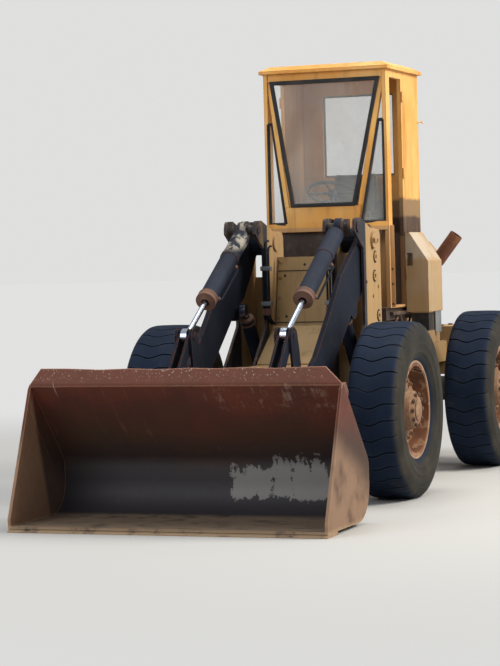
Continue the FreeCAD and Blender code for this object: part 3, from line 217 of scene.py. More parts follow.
BUCKET_BLUE_BLACK, BUCKET_PEELED = (0.022, 0.024, 0.030), (0.205, 0.195, 0.185)
BUCKET_SCRATCH, BUCKET_SCUFF, BUCKET_EDGE = (0.20, 0.115, 0.075), (0.24, 0.15, 0.11), (0.42, 0.21, 0.12)
# BUCKET_END_PAINTED_LIGHT is painted light: the sunlit strip inside the bucket's right end.
BUCKET_GUARD, BUCKET_END_PAINTED_LIGHT, BUCKET_CLAY = (0.21, 0.085, 0.058), (0.30, 0.165, 0.095), (0.36, 0.215, 0.13)
BUCKET_SPECK, BUCKET_LINE, BUCKET_SAND = (0.50, 0.42, 0.38), (0.52, 0.40, 0.34), (0.40, 0.28, 0.17)
TREAD_BLUE, TREAD_PALE_BLUE = (0.006, 0.013, 0.030), (0.011, 0.020, 0.041)
WALL_BROWN, WALL_PALE_BROWN = (0.022, 0.021, 0.018), (0.044, 0.039, 0.030)
TYRE_SCUFF, TYRE_DUST = (0.085, 0.098, 0.125), (0.17, 0.13, 0.085)
RIM_RUST, RIM_DARK_RUST, RIM_ORANGE = (0.235, 0.098, 0.050), (0.105, 0.052, 0.034), (0.30, 0.11, 0.045)
RIM_OLD_PAINT, RIM_HUB, RIM_FLANGE = (0.37, 0.24, 0.13), (0.30, 0.20, 0.12), (0.40, 0.29, 0.20)
RIM_EDGE = (0.43, 0.20, 0.10)

# Where the finishes change, each a pair between which one passes into the other.
DOOR_POST_BACK = (0.77, 0.79)
TOWER_FRONT = (-0.25, -0.22)
TANK_FOOT, TANK_TOP = (1.285, 1.295), (1.70, 1.74)
BUCKET_BACK, BUCKET_ENDS = (-2.158, -2.150), (1.088, 1.094)
GUARD_FOOT, FLOOR_TOP = (0.935, 0.965), (0.022, 0.06)
TREAD_SIDE = (0.150, 0.182)
HUB_RIM, FLANGE_FOOT = (0.235, 0.255), (0.337, 0.342)


def worn_paint(name, colour, faded, chips=0.5, dirt=0.4, streaks=0.3, gloss=0.55, bare=RUST_DARK, zone=None,
               shine=0.35):
    """Old paint: faded in clouds, chipped to rust along its edges, streaked and dusty.

    A zone gives (where, colour) pairs: each recolours the paint where its mask is one.
    """
    finish = Finish(name, Specular_IOR_Level=shine)
    fading = finish.clouds(1.7, 3.0, shift=(3, 1, 7)).step(0.35, 0.68)
    fine = finish.clouds(38.0)
    finish.shade = finish.mix(fading, colour, faded)
    for mask, tone in (zone(finish) if zone else ()):
        finish.coat(mask, tone)
    run = finish.clouds(2.4, 5.0, stretch=(5, 5, 0.55), shift=(1, 5, 2)).step(0.50, 0.74)
    finish.coat(run * streaks, [0.45 * part for part in colour])
    grime = finish.clouds(5.5, 6.0, 0.65, shift=(8, 2, 4)).step(0.48, 0.78)
    splashed = finish.z.under(0.4, 1.5)
    finish.coat((grime * dirt + splashed * grime * 0.5 * dirt).held(), DUST)
    flaking = finish.clouds(21.0, 7.0, 0.68, shift=(2, 9, 1))
    flaked = (flaking - 0.5) * 2.0 + finish.edges() * 0.62 + fading * 0.10
    spread = 0.30 * chips
    chip = flaked.step(0.62 - spread, 0.70 - spread)
    halo = flaked.step(0.44 - spread, 0.68 - spread)
    finish.coat(halo * 0.45, RUST_WARM)
    finish.coat(chip, finish.mix(fine, bare, RUST_WARM))
    settled = finish.up().step(0.6, 0.95) * finish.clouds(9.0, 5.0).step(0.3, 0.7)
    finish.coat(settled * min(0.45, dirt), DUST)
    rough = (fine * 0.18 + gloss + chip * 0.25 + settled * 0.15).held()
    dents = finish.clouds(3.0, 2.0, shift=(5, 5, 5)) * 0.6 + fine * 0.05 - chip * 0.12
    return finish.paint(Base_Color=finish.shade, Roughness=rough, Normal=finish.bump(dents, 0.35, 0.006))


def cab_zones(finish):
    """The grey and brown bands low on the cab's rear posts, and the orange-beige of its lower walls."""
    rear = finish.y.step(*DOOR_POST_BACK)
    uneven = finish.z + (finish.clouds(6.0) - 0.5) * 0.06
    return ((rear * uneven.under(2.18, 2.21) * 0.85, POST_GREY),
            (rear * uneven.under(2.04, 2.07) * 0.95, POST_BROWN),
            ((1.0 - rear) * finish.z.under(1.975, 1.99), BEIGE_WALL),
            (rear * finish.z.under(1.89, 1.91), POST_FOOT))


def tower_zones(finish):
    """The front of the towers, with the ears of the tilt cylinders, is black."""
    return ((finish.y.under(*TOWER_FRONT), EAR_BLACK),)


def tank_zones(finish):
    """Below the ledge a side tank is painted near-black as shade, and its top is bleached."""
    bleached = finish.z.step(*TANK_TOP) * finish.clouds(5.0).step(0.3, 0.6) * 0.6
    return ((finish.z.under(*TANK_FOOT), TANK_PAINTED_SHADE), (bleached, BLEACHED))


def barrel_zones(finish):
    """The head of the right tilt cylinder is worn to grey."""
    right = finish.x.under(-0.31, -0.30)
    patch = finish.clouds(9.0, 6.0, 0.7, shift=(4, 2, 2)).step(0.46, 0.54)
    return ((right * patch * finish.z.step(1.80, 1.86), WORN_GREY),)


def bucket_steel():
    """Rusted steel: red above, blue-black low inside, one peeled pale patch, scratched and sandy, with
    painted sunlight on the front strip inside the right end.
    """
    finish = Finish("bucket_steel", Specular_IOR_Level=0.35)
    broad = finish.clouds(2.2, shift=(4, 4, 0)).step(0.3, 0.7)
    fine = finish.clouds(30.0, 6.0, 0.65)
    flake = finish.clouds(17.0, 7.0, 0.72, shift=(0, 3, 3))
    comb = finish.clouds(13.0, 5.0, 0.7, stretch=(1.0, 0.12, 0.16), shift=(3, 1, 0))
    height = finish.z + (finish.clouds(1.6, 3.0) - 0.5) * 0.32
    within = abs(finish.x).under(*BUCKET_ENDS) * finish.y.under(*BUCKET_BACK)

    red = finish.mix(broad, BUCKET_RED, BUCKET_DULL_RED)
    brown = finish.mix(fine, BUCKET_BROWN, BUCKET_WARM_BROWN)
    finish.shade = finish.mix(height.step(0.48, 0.86), brown, red)
    dark = (height - finish.x * 0.05).under(0.30, 0.62) * within
    finish.coat(dark * 0.80, BUCKET_BLUE_BLACK)
    scratch = finish.clouds(26.0, 4.0, 0.7, stretch=(1.0, 0.10, 0.10), shift=(2, 0, 0)).step(0.60, 0.74)
    scrubbed = finish.clouds(1.9, 3.0, shift=(7, 0, 3)).step(0.45, 0.65)
    finish.coat(scratch * scrubbed * 0.55, BUCKET_SCRATCH)

    peeled = peeled_patch(finish, (comb - 0.5) * 2.4 + (flake - 0.5) * 1.9 + (fine - 0.5) * 0.8) * within
    finish.coat(peeled * 0.92, BUCKET_PEELED)
    upper = finish.z.step(0.60, 0.82) * finish.z.under(0.94, 0.98) * finish.x.step(-0.1, 0.2)
    worn = (flake * 0.45 + comb * 0.55 + upper * 0.16).step(0.66, 0.78) * upper * within
    finish.coat(worn * 0.7, BUCKET_SCUFF)
    # Painted light: the front strip of the right end plate's inside face is painted lighter, as if in
    # sunlight.
    painted_sunlit_end = finish.x.under(-1.086, -1.080) * within * (finish.y + finish.z * 0.29).under(-2.42, -2.36)
    finish.coat(painted_sunlit_end * (flake + 0.35).held(), BUCKET_END_PAINTED_LIGHT)
    guard = finish.z.step(*GUARD_FOOT)
    finish.coat(guard * (0.35 + flake * 0.5), BUCKET_GUARD)
    bright = (finish.edges(0.010) * 0.9 + (fine - 0.5) * 1.2).step(0.35, 0.8)
    finish.coat(bright * 0.62, BUCKET_EDGE)

    low_outside = (1.0 - within) * (finish.z + (finish.y + 2.6) * 0.5).under(0.35, 0.62)
    dusty = low_outside * finish.clouds(4.0, 5.0, shift=(1, 1, 1)).step(0.15, 0.55)
    finish.coat(dusty * 0.72, BUCKET_CLAY)
    speck = finish.clouds(70.0, 2.0, 0.5).step(0.63, 0.70) * (finish.z + flake * 0.10).step(1.00, 1.08)
    finish.coat(speck, BUCKET_SPECK)
    line = finish.clouds(34.0, 1.0, 0.4, stretch=(1.0, 0.02, 0.03), shift=(6, 0, 0)).step(0.71, 0.74)
    finish.coat(line * finish.z.step(0.84, 0.98) * 0.8, BUCKET_LINE)
    sand = finish.z.under(*FLOOR_TOP) * finish.clouds(7.0, 6.0, 0.7, stretch=(1, 2, 1)).step(0.30, 0.52)
    finish.coat(sand * 0.85, BUCKET_SAND)

    rough = (fine * 0.25 + 0.56 - dark * 0.08 + sand * 0.3).held()
    relief = finish.clouds(2.5, 3.0, shift=(9, 9, 9)) + fine * 0.10 + peeled * 0.08 + scratch * 0.02
    return finish.paint(Base_Color=finish.shade, Roughness=rough, Metallic=dark * 0.12,
                        Normal=finish.bump(relief, 0.5, 0.007))


def peeled_patch(finish, ragged):
    """The patch low on the left of the bucket's back: straight below, torn upwards in strips."""
    rise = finish.clouds(3.2, 3.0, 0.6, stretch=(1.0, 0.1, 0.1), shift=(5, 0, 0)) * 0.34
    band = (finish.x.step(0.10, 0.20) * finish.x.under(0.98, 1.05)
            * finish.z.step(0.10, 0.20) * (finish.z - rise).under(0.10, 0.34))
    return (ragged + band * 1.05).step(0.56, 0.66) * band.step(0.08, 0.3)


def tyre_rubber():
    """Blue-black rubber, browner and dustier on the walls, with pale scuffs on the lugs."""
    finish = Finish("tyre_rubber", Specular_IOR_Level=0.12)
    fine = finish.clouds(60.0, 5.0, 0.6)
    broad = finish.clouds(4.0).step(0.3, 0.7)
    tread = finish.mix(broad, TREAD_BLUE, TREAD_PALE_BLUE)
    wall = finish.mix(broad, WALL_BROWN, WALL_PALE_BROWN)
    from_middle = abs(abs(finish.x) - HALF_TRACK)
    finish.shade = finish.mix(from_middle.step(*TREAD_SIDE), tread, wall)
    scuff = (finish.edges(0.010) * 0.6 + (fine - 0.5) * 0.6).step(0.25, 0.8)
    finish.coat(scuff * 0.55, TYRE_SCUFF)
    soiled = finish.clouds(6.0, 6.0, 0.7, shift=(1, 2, 3)).step(0.52, 0.8)
    dusty = soiled * (1.0 - finish.z.step(0.1, 1.1) * 0.6)
    finish.coat(dusty * 0.28, TYRE_DUST)
    rough = (fine * 0.2 + 0.58 + dusty * 0.2).held()
    return finish.paint(Base_Color=finish.shade, Roughness=rough,
                        Normal=finish.bump(fine * 0.4 + broad * 0.2, 0.3, 0.003))


def rusty_rim():
    """Rust over old tan paint, with a paler hub and flange."""
    finish = Finish("rusty_rim", Specular_IOR_Level=0.3)
    fine = finish.clouds(34.0, 6.0, 0.65)
    broad = finish.clouds(5.0).step(0.32, 0.66)
    finish.shade = finish.mix(broad, RIM_RUST, RIM_DARK_RUST)
    old = finish.clouds(11.0, 5.0, 0.6, shift=(3, 3, 3)).step(0.54, 0.62)
    finish.coat(old * 0.75, RIM_OLD_PAINT)
    finish.coat((fine - 0.2).step(0.2, 0.6) * 0.35, RIM_ORANGE)
    along = abs(finish.y - FRONT_AXLE).least(abs(finish.y - REAR_AXLE))
    above = finish.z - AXLE_HEIGHT
    radius = (along * along + above * above) ** 0.5
    hub = (radius + (fine - 0.5) * 0.03).under(*HUB_RIM) * (1.0 - old * 0.4)
    finish.coat(hub * (0.25 + fine).held() * 0.62, RIM_HUB)
    flange = (radius + (fine - 0.5) * 0.012).step(*FLANGE_FOOT)
    finish.coat(flange * 0.6, RIM_FLANGE)
    finish.coat(finish.edges() * 0.5, RIM_EDGE)
    return finish.paint(Base_Color=finish.shade, Roughness=(fine * 0.2 + 0.68).held(),
                        Normal=finish.bump(fine * 0.5 + old * 0.15, 0.45, 0.004))


def bare_metal(name, colour, rough, metallic, stain=RUST_WARM, amount=0.35):
    """Metal with a stain in its clouds: chrome, cast iron or a rusted pipe."""
    finish = Finish(name)
    fine = finish.clouds(45.0, 5.0, 0.6)
    cloud = finish.clouds(7.0, 5.0, 0.6, shift=(6, 1, 1)).step(0.5, 0.72)
    return finish.paint(Base_Color=finish.mix(cloud * amount, colour, stain),
                        Metallic=(metallic - cloud * amount * metallic).held(),
                        Roughness=(fine * 0.16 + rough + cloud * 0.25 * amount).held(),
                        Normal=finish.bump(fine, 0.15, 0.002))


def dusty_glass():
    """Clear glass with a film of dust, thicker low down, and dried spots."""
    finish = Finish("dusty_glass", IOR=1.3)
    film = finish.clouds(2.8, 5.0, 0.6, stretch=(1, 1, 0.6)).step(0.3, 0.8)
    spots = finish.clouds(60.0, 3.0).step(0.60, 0.72)
    cover = (film * 0.10 + spots * 0.10 + 0.13 + finish.z.under(2.0, 2.5) * 0.12).held()
    return finish.paint(Base_Color=finish.mix(film, (0.42, 0.45, 0.45), (0.60, 0.57, 0.50)), Alpha=cover,
                        Roughness=(film * 0.1 + 0.05).held())


def moulded(name, colour, rough, dust):
    """Rubber, vinyl or plastic with a fine grain and settled dust."""
    finish = Finish(name, Specular_IOR_Level=0.3)
    fine = finish.clouds(90.0, 3.0)
    cloud = finish.clouds(6.0, 5.0, 0.65, shift=(2, 2, 8)).step(0.45, 0.75)
    finish.shade = finish.mix(cloud * dust, colour, (0.17, 0.135, 0.095))
    finish.coat(finish.edges(0.005) * 0.3, [min(1.0, 2.6 * part + 0.02) for part in colour])
    return finish.paint(Base_Color=finish.shade, Normal=finish.bump(fine, 0.25, 0.0015),
                        Roughness=(fine * 0.15 + rough + cloud * dust * 0.3).held())


def make_finishes():
    """Every finish by its name; those of the record's slots carry the slot's name."""
    ochre, tan = tuple(colours().cab_ochre), tuple(colours().frame_tan)
    finishes = {
        "bucket_rust": bucket_steel(),
        "tyre_rubber": tyre_rubber(),
        "rusty_rim": rusty_rim(),
        "cab_glass": dusty_glass(),
    }
    for name, colour, faded, wear in (
            ("cab_ochre", ochre, (0.76, 0.42, 0.13),
             dict(chips=0.56, dirt=0.20, streaks=0.55, zone=cab_zones)),
            ("frame_tan", tan, FADED_TAN, dict(chips=0.36, dirt=0.35, streaks=0.45)),
            ("tower_tan", tan, FADED_TAN, dict(chips=0.36, dirt=0.30, streaks=0.45, zone=tower_zones)),
            ("tank_tan", tan, (0.40, 0.29, 0.18),
             dict(chips=0.34, dirt=0.35, streaks=0.35, zone=tank_zones)),
            # Painted shade: the frame's tan darkened as if in shade, for the front cover, its bolts and the
            # hood's fittings.
            ("panel_tan", (0.27, 0.17, 0.062), (0.33, 0.215, 0.095),
             dict(chips=0.34, dirt=0.35, streaks=0.5)),
            ("arm_black", (0.008, 0.011, 0.019), (0.014, 0.018, 0.030),
             dict(chips=0.34, dirt=0.025, streaks=0.25, gloss=0.62, shine=0.09, bare=RUST_WORN)),
            ("barrel_black", (0.009, 0.013, 0.024), (0.016, 0.023, 0.040),
             dict(chips=0.36, dirt=0.03, streaks=0.2, shine=0.13, bare=RUST_WORN, zone=barrel_zones)),
            ("slate_grey", (0.115, 0.135, 0.155), (0.18, 0.19, 0.20), dict(chips=0.40, dirt=0.2)),
            # Painted shade: the cab base and the ledges are painted near-black for the shaded hollow under
            # the cab.
            ("dark_skirt", (0.050, 0.034, 0.028), (0.10, 0.062, 0.045), dict(chips=0.5, dirt=0.4))):
        finishes[name] = worn_paint(name, colour, faded, **wear)
    for name, *metal in (
            ("axle_dark", (0.060, 0.052, 0.045), 0.62, 0.1, DUST, 0.6),
            ("engine_iron", (0.085, 0.075, 0.065), 0.6, 0.3, RUST_WARM, 0.5),
            ("chromed_rod", (0.46, 0.51, 0.60), 0.10, 1.0, RUST_WARM, 0.12),
            ("exhaust_rust", (0.165, 0.062, 0.034), 0.75, 0.1, (0.30, 0.13, 0.06), 0.7),
            ("gland_rust", (0.125, 0.062, 0.040), 0.7, 0.1, (0.26, 0.12, 0.06), 0.6)):
        finishes[name] = bare_metal(name, *metal)
    for name, colour, rough, dust in (
            ("seat_vinyl", (0.055, 0.058, 0.055), 0.55, 0.45),
            ("dark_plastic", (0.030, 0.030, 0.032), 0.5, 0.3),
            ("black_rubber", (0.016, 0.016, 0.018), 0.6, 0.2)):
        finishes[name] = moulded(name, colour, rough, dust)
    return finishes


FINISHES = {}


def alone(piece):
    """Select one piece and nothing else, and make it active."""
    bpy.ops.object.select_all(action="DESELECT")
    piece.select_set(True)
    bpy.context.view_layer.objects.active = piece
    return piece


def new_piece(name):
    """Name the active piece and its mesh."""
    piece = bpy.context.object
    piece.name = name
    piece.data.name = name
    return alone(piece)


def primitive(kind, name, **settings):
    """Add a primitive with nothing else selected, and name it."""
    bpy.ops.object.select_all(action="DESELECT")
    getattr(bpy.ops.mesh, "primitive_%s_add" % kind)(**settings)
    return new_piece(name)


def edit_all(piece, mode="VERT"):
    """Go into edit mode with all of the piece selected."""
    alone(piece)
    bpy.ops.object.mode_set(mode="EDIT")
    bpy.ops.mesh.select_mode(type=mode)
    bpy.ops.mesh.select_all(action="SELECT")


def leave_edit():
    bpy.ops.object.mode_set(mode="OBJECT")


def fix_place(piece):
    """Put a piece's place, turn and scale into its mesh."""
    alone(piece)
    bpy.ops.object.transform_apply(location=True, rotation=True, scale=True)
    return piece


def with_modifier(piece, kind, **settings):
    """Add a modifier, set it and apply it."""
    alone(piece)
    modifier = piece.modifiers.new(kind.lower(), kind)
    for name, value in settings.items():
        setattr(modifier, name, value)
    bpy.ops.object.modifier_apply(modifier=modifier.name)
    return piece


def soften(piece, width):
    """Round the edges of a piece and shade it."""
    if width:
        with_modifier(piece, "BEVEL", width=width, segments=2, limit_method="ANGLE", angle_limit=0.6,
                      use_clamp_overlap=True)
    alone(piece)
    bpy.ops.object.shade_smooth_by_angle(angle=0.7)
    return piece


def outward(piece):
    """Merge doubles and turn every face outwards."""
    edit_all(piece)
    bpy.ops.mesh.remove_doubles(threshold=0.00002)
    bpy.ops.mesh.normals_make_consistent(inside=False)
    leave_edit()
    return piece


def block(name, low, high, round_by=0.004):
    """A bevelled block between two corners."""
    low, high = Vector(low), Vector(high)
    piece = primitive("cube", name, size=1, location=(low + high) / 2, scale=high - low)
    return soften(fix_place(piece), round_by)


def slab(name, corners, thick, hole=0.0, round_by=0.002):
    """A plate from its corners in space, thickened against its normal, as a frame where it has a hole."""
    piece = primitive("circle", name, vertices=len(corners), radius=1, fill_type="NGON")
    for vertex, corner in zip(piece.data.vertices, corners):
        vertex.co = corner
    if hole:
        edit_all(piece, "FACE")
        bpy.ops.mesh.inset(thickness=hole, use_boundary=True)
        bpy.ops.mesh.delete(type="FACE")
        leave_edit()
    with_modifier(piece, "SOLIDIFY", thickness=thick, offset=0)
    return soften(outward(piece), round_by)


def bar(name, start, end, radius, sides=20, round_by=0.002):
    """A round bar between two points."""
    start, end = Vector(start), Vector(end)
    way = end - start
    piece = primitive("cylinder", name, vertices=sides, radius=radius, depth=way.length,
                      location=(start + end) / 2, rotation=way.to_track_quat("Z", "Y").to_euler())
    return soften(fix_place(piece), round_by)


def turned(name, start, way, profile, sides=40, closed=False):
    """A turned piece: rings of (distance, radius) are extruded along a direction from a start.

    A closed profile is a ring's own outline, so the first ring isn't filled.
    """
    distance, radius = profile[0]
    piece = primitive("circle", name, vertices=sides, radius=radius, location=(0, 0, distance),
                      fill_type="NOTHING" if closed else "NGON")
    edit_all(fix_place(piece))
    for (before, narrow), (after, wide) in zip(profile, profile[1:]):
        bpy.ops.mesh.extrude_region_move(TRANSFORM_OT_translate={"value": (0, 0, after - before)})
        bpy.ops.transform.resize(value=(wide / narrow, wide / narrow, 1))
    leave_edit()
    turn = Vector(way).normalized().to_track_quat("Z", "Y").to_matrix().to_4x4()
    piece.data.transform(Matrix.Translation(Vector(start)) @ turn)
    return soften(outward(piece), 0)


def joined(name, pieces):
    """Several pieces made one mesh."""
    bpy.ops.object.select_all(action="DESELECT")
    for piece in pieces:
        piece.select_set(True)
    bpy.context.view_layer.objects.active = pieces[0]
    if len(pieces) > 1:
        bpy.ops.object.join()
    return new_piece(name)


def copy_of(piece, name, move, turn=None):
    """A copy with its own mesh, turned and then moved in its mesh."""
    alone(piece)
    bpy.ops.object.duplicate()
    double = new_piece(name)
    double.data.transform(Matrix.Translation(Vector(move)) @ (turn or Matrix.Identity(4)))
    return double


def dress(piece, finish, body):
    """Give a piece its finish and let it ride on its body."""
    piece.data.materials.clear()
    piece.data.materials.append(FINISHES[finish])
    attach(piece, body)
    return piece


def hex_bolt(name, centre, way, size, high):
    """A bolt head with its washer."""
    way = Vector(way).normalized()
    start = Vector(centre)
    head = bar(name, start, start + way * high, size, 6, 0.0012)
    washer = bar(name + "_washer", start - way * 0.001, start + way * 0.0025, size * 1.35, 18, 0.0008)
    return joined(name, [head, washer])


def bolts(name, spots, way, size, high):
    """The same bolt at several places, as one mesh."""
    first = hex_bolt(name, spots[0], way, size, high)
    rest = [copy_of(first, name, Vector(spot) - Vector(spots[0])) for spot in spots[1:]]
    return joined(name, [first, *rest])


def ring_of(centre, radius, count):
    """Places round a wheel's axle, all at the same X."""
    x, y, z = centre
    angles = [FULL_TURN * number / count for number in range(count)]
    return [(x, y + radius * math.cos(angle), z + radius * math.sin(angle)) for angle in angles]


def hard_pipe(name, points, body):
    """A formed steel pipe: one smooth open curve through its control points."""
    data = bpy.data.curves.new(name, "CURVE")
    data.dimensions = "3D"
    data.bevel_depth = sizes().pipe
    data.bevel_resolution = 4
    data.resolution_u = 10
    data.use_fill_caps = True
    spline = data.splines.new("NURBS")
    spline.points.add(len(points) - 1)
    for point, place in zip(spline.points, points):
        point.co = (*place, 1.0)
    spline.order_u = 3
    spline.use_endpoint_u = True
    piece = bpy.data.objects.new(name, data)
    bpy.context.scene.collection.objects.link(piece)
    data.materials.append(FINISHES["arm_black"])
    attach(piece, body)


class LoaderColours(bpy.types.PropertyGroup):
    """The colours that an owner would change."""

    cab_ochre: FloatVectorProperty(name="Cab", description="Paint of the cab and its roof", subtype="COLOR",
                                   min=0, max=1, default=(0.66, 0.30, 0.055))
    frame_tan: FloatVectorProperty(name="Frame", description="Paint of frames, towers and panels",
                                   subtype="COLOR", min=0, max=1, default=(0.40, 0.245, 0.10))
    floor: FloatVectorProperty(name="Floor", description="The plain floor", subtype="COLOR",
                               min=0, max=1, default=(0.50, 0.495, 0.48))


class LoaderSizes(bpy.types.PropertyGroup):
    """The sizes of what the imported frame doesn't hold."""

    lugs: IntProperty(name="Lugs", description="Tread blocks round one tyre", default=34, min=12, max=60)
    groove: FloatProperty(name="Groove", description="Depth of the tread's grooves", unit="LENGTH",
                          default=0.019, min=0.0, max=0.05)
    pipe: FloatProperty(name="Pipe", description="Radius of the hard hydraulic pipes", unit="LENGTH",
                        default=0.0085, min=0.004, max=0.03)
    gasket: FloatProperty(name="Gasket", description="Width of the windows' rubber", unit="LENGTH",
                          default=0.030, min=0.005, max=0.06)


def colours():
    return bpy.context.scene.loader_colours


def sizes():
    return bpy.context.scene.loader_sizes


class Piece:
    """What every operator of this file shares."""

    bl_options = {"REGISTER", "UNDO"}

    def execute(self, context):
        self.make()
        return {"FINISHED"}


class LOADER_OT_finishes(Piece, bpy.types.Operator):
    """Make every finish and give each piece of the frame its own"""

    bl_idname = "loader.finishes"
    bl_label = "Finishes"

    # Nodes whose finish is another one of their slot; the front cover's and the cab base's carry painted
    # shade.
    own = {"front_cover": "panel_tan", "cab_base": "dark_skirt", "lift_towers": "tower_tan",
           "side_tanks": "tank_tan", "tilt_barrels": "barrel_black", "lift_barrels": "barrel_black"}

    def make(self):
        FINISHES.update(make_finishes())
        for part in frame["record"]["subparts"]:
            piece = frame["nodes"][part["node"]]
            piece.data.materials.clear()
            piece.data.materials.append(FINISHES[self.own.get(part["node"], part["material_slot"])])


class LOADER_OT_stage(Piece, bpy.types.Operator):
    """Floor, backdrop, soft lamps and the camera at the photograph's angle"""

    bl_idname = "loader.stage"
    bl_label = "Stage"

    backdrop = (0.74, 0.74, 0.735)
    floor_span = 600
    fade = (3.4, 10.5)
    aim = (0, -0.3, 1.0)
    # Name, place, width, power and colour of each lamp.
    lamps = (("key_lamp", (9.0, 1.5, 8.5), 5.0, 1500, (1.0, 0.95, 0.86)),
             ("front_lamp", (-4.0, -11.0, 6.0), 7.0, 430, (0.94, 0.97, 1.0)),
             ("top_lamp", (0.0, 0.5, 11.0), 6.0, 520, (1.0, 0.98, 0.95)))
    stand = (5.632, -16.188, 1.755)
    yaw_pitch_roll = (20.79, -1.894, -1.558)
    lens = 121.46

    def make(self):
        self.add_floor()
        self.add_sky()
        self.add_lamps()
        self.add_camera()
        bpy.context.scene.view_settings.view_transform = "Standard"

    def add_floor(self):
        """A wide plain floor that fades into the backdrop's colour far from the machine."""
        floor = primitive("plane", "floor", size=1, location=(0, 0, 0))
        floor.data.transform(Matrix.Diagonal((self.floor_span, self.floor_span, 1, 1)))
        finish = Finish("floor_paint", Roughness=0.9, Specular_IOR_Level=0.05, Emission_Strength=1.0)
        pale = tuple(colours().floor)
        shade = finish.mix(finish.clouds(0.4, 3.0), pale, [0.96 * part for part in pale])
        away = (finish.x * finish.x + finish.y * finish.y) ** 0.5
        far = away.step(*self.fade)
        black = (0.0, 0.0, 0.0)
        floor.data.materials.append(finish.paint(Base_Color=finish.mix(far, shade, black),
                                                 Emission_Color=finish.mix(far, black, self.backdrop)))

    def add_sky(self):
        """A soft light from all round; the camera sees the plain backdrop in its place."""
        world = bpy.data.worlds.new("plain_world")
        bpy.context.scene.world = world
        world.use_nodes = True
        tree = world.node_tree
        lighting = tree.nodes["Background"]
        lighting.inputs["Color"].default_value = (0.93, 0.96, 1.0, 1.0)
        lighting.inputs["Strength"].default_value = 0.55
        seen = tree.nodes.new("ShaderNodeBackground")
        seen.inputs["Color"].default_value = (*self.backdrop, 1.0)
        rays = tree.nodes.new("ShaderNodeLightPath")
        either = tree.nodes.new("ShaderNodeMixShader")
        tree.links.new(rays.outputs["Is Camera Ray"], either.inputs[0])
        tree.links.new(lighting.outputs[0], either.inputs[1])
        tree.links.new(seen.outputs[0], either.inputs[2])
        tree.links.new(either.outputs[0], tree.nodes["World Output"].inputs[0])

    def add_lamps(self):
        for name, place, width, power, colour in self.lamps:
            light = bpy.data.lights.new(name, "AREA")
            light.shape = "DISK"
            light.size = width
            light.energy = power
            light.color = colour
            lamp = bpy.data.objects.new(name, light)
            bpy.context.scene.collection.objects.link(lamp)
            lamp.location = place
            lamp.rotation_euler = (Vector(self.aim) - Vector(place)).to_track_quat("-Z", "Y").to_euler()

    def add_camera(self):
        yaw, pitch, roll = [math.radians(angle) for angle in self.yaw_pitch_roll]
        look = Vector((-math.sin(yaw) * math.cos(pitch), math.cos(yaw) * math.cos(pitch), math.sin(pitch)))
        level = Vector((math.cos(yaw), math.sin(yaw), 0))
        upright = level.cross(look)
        right = math.cos(roll) * level + math.sin(roll) * upright
        top = math.cos(roll) * upright - math.sin(roll) * level
        data = bpy.data.cameras.new("photo_camera")
        data.sensor_fit = "VERTICAL"
        data.sensor_height = 36
        data.lens = self.lens
        data.clip_end = 200
        camera = bpy.data.objects.new("photo_camera", data)
        bpy.context.scene.collection.objects.link(camera)
        turn = Matrix((right, top, -look)).transposed().to_4x4()
        camera.matrix_world = Matrix.Translation(self.stand) @ turn
        bpy.context.scene.camera = camera


class LOADER_OT_tyres(Piece, bpy.types.Operator):
    """Four tyres with their worn wavy lugs and ribbed walls"""

    bl_idname = "loader.tyres"
    bl_label = "Tyres"

    # One half of the section, from the tread's middle to the bead: distance from the middle, and radius.
    section = ((0.0, 0.6375), (0.030, 0.6375), (0.060, 0.6370), (0.090, 0.6365), (0.115, 0.6355),
               (0.138, 0.6340), (0.155, 0.6300), (0.168, 0.6200), (0.176, 0.6060), (0.182, 0.5900),
               (0.187, 0.5700), (0.191, 0.5600), (0.1895, 0.5560), (0.1925, 0.5500), (0.1960, 0.5280),
               (0.1965, 0.5000),
               (0.1950, 0.4780), (0.1968, 0.4740), (0.1945, 0.4690), (0.1900, 0.4450), (0.1840, 0.4200),
               (0.1850, 0.4160), (0.1800, 0.4100), (0.1680, 0.3800), (0.1540, 0.3600), (0.1420, 0.3550),
               (0.1355, 0.3500), (0.1350, 0.3310))
    # Where the rings of one lug lie, as shares of its pitch: the groove is between the first four.
    marks = (0.0, 0.018, 0.110, 0.128, 0.35, 0.57, 0.79)
    groove_rings = (1, 2)
    tread_foot = 0.585
    shoulder, groove_end = 0.158, 0.186
    wave_reach, wave_middle, wave_half = 0.058, -0.012, 0.115
    # How far the tyres are turned against each other, so that their lugs don't line up.
    stagger = 0.13

    def make(self):
        steps = len(self.marks)
        around = sizes().lugs * steps
        profile = [(-x, radius) for x, radius in self.section[:0:-1]] + list(self.section)
        columns = len(profile)
        tyre = primitive("grid", "tyre_pattern", x_subdivisions=columns - 1, y_subdivisions=around, size=1)
        for vertex in tyre.data.vertices:
            x, radius = profile[round((vertex.co.x + 0.5) * (columns - 1))]
            number, step = divmod(round((vertex.co.y + 0.5) * around), steps)
            depth, shift = self.groove_at(x, step, number) if radius > self.tread_foot else (0.0, 0.0)
            angle = FULL_TURN * (number + self.marks[step]) / sizes().lugs + shift
            vertex.co = (x, (radius - depth) * math.cos(angle), (radius - depth) * math.sin(angle))
        outward(tyre)
        alone(tyre)
        bpy.ops.object.shade_smooth_by_angle(angle=0.55)
        for place, side, y in WHEELS:
            turn = Matrix.Rotation(self.stagger * (y + side), 4, "X")
            double = copy_of(tyre, "tyre_rubber_" + place, (HALF_TRACK * side, y, AXLE_HEIGHT), turn)
            dress(double, "tyre_rubber", "wheel_" + place)
            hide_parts("tyre_" + place)
        bpy.data.objects.remove(tyre)

    def groove_at(self, x, step, number):
        """How deep the groove is here, and how far the wave shifts it round the tyre."""
        aside = min(1.0, abs(x - self.wave_middle) / self.wave_half)
        shift = self.wave_reach * (1.0 - aside * aside * (3.0 - 2.0 * aside))
        if step not in self.groove_rings:
            return 0.0, shift
        tapered = max(0.0, (self.groove_end - abs(x)) / (self.groove_end - self.shoulder))
        share = 1.0 if abs(x) < self.shoulder else tapered
        worn = 0.8 + 0.2 * math.sin(number * 2.4)
        return sizes().groove * share * worn, shift


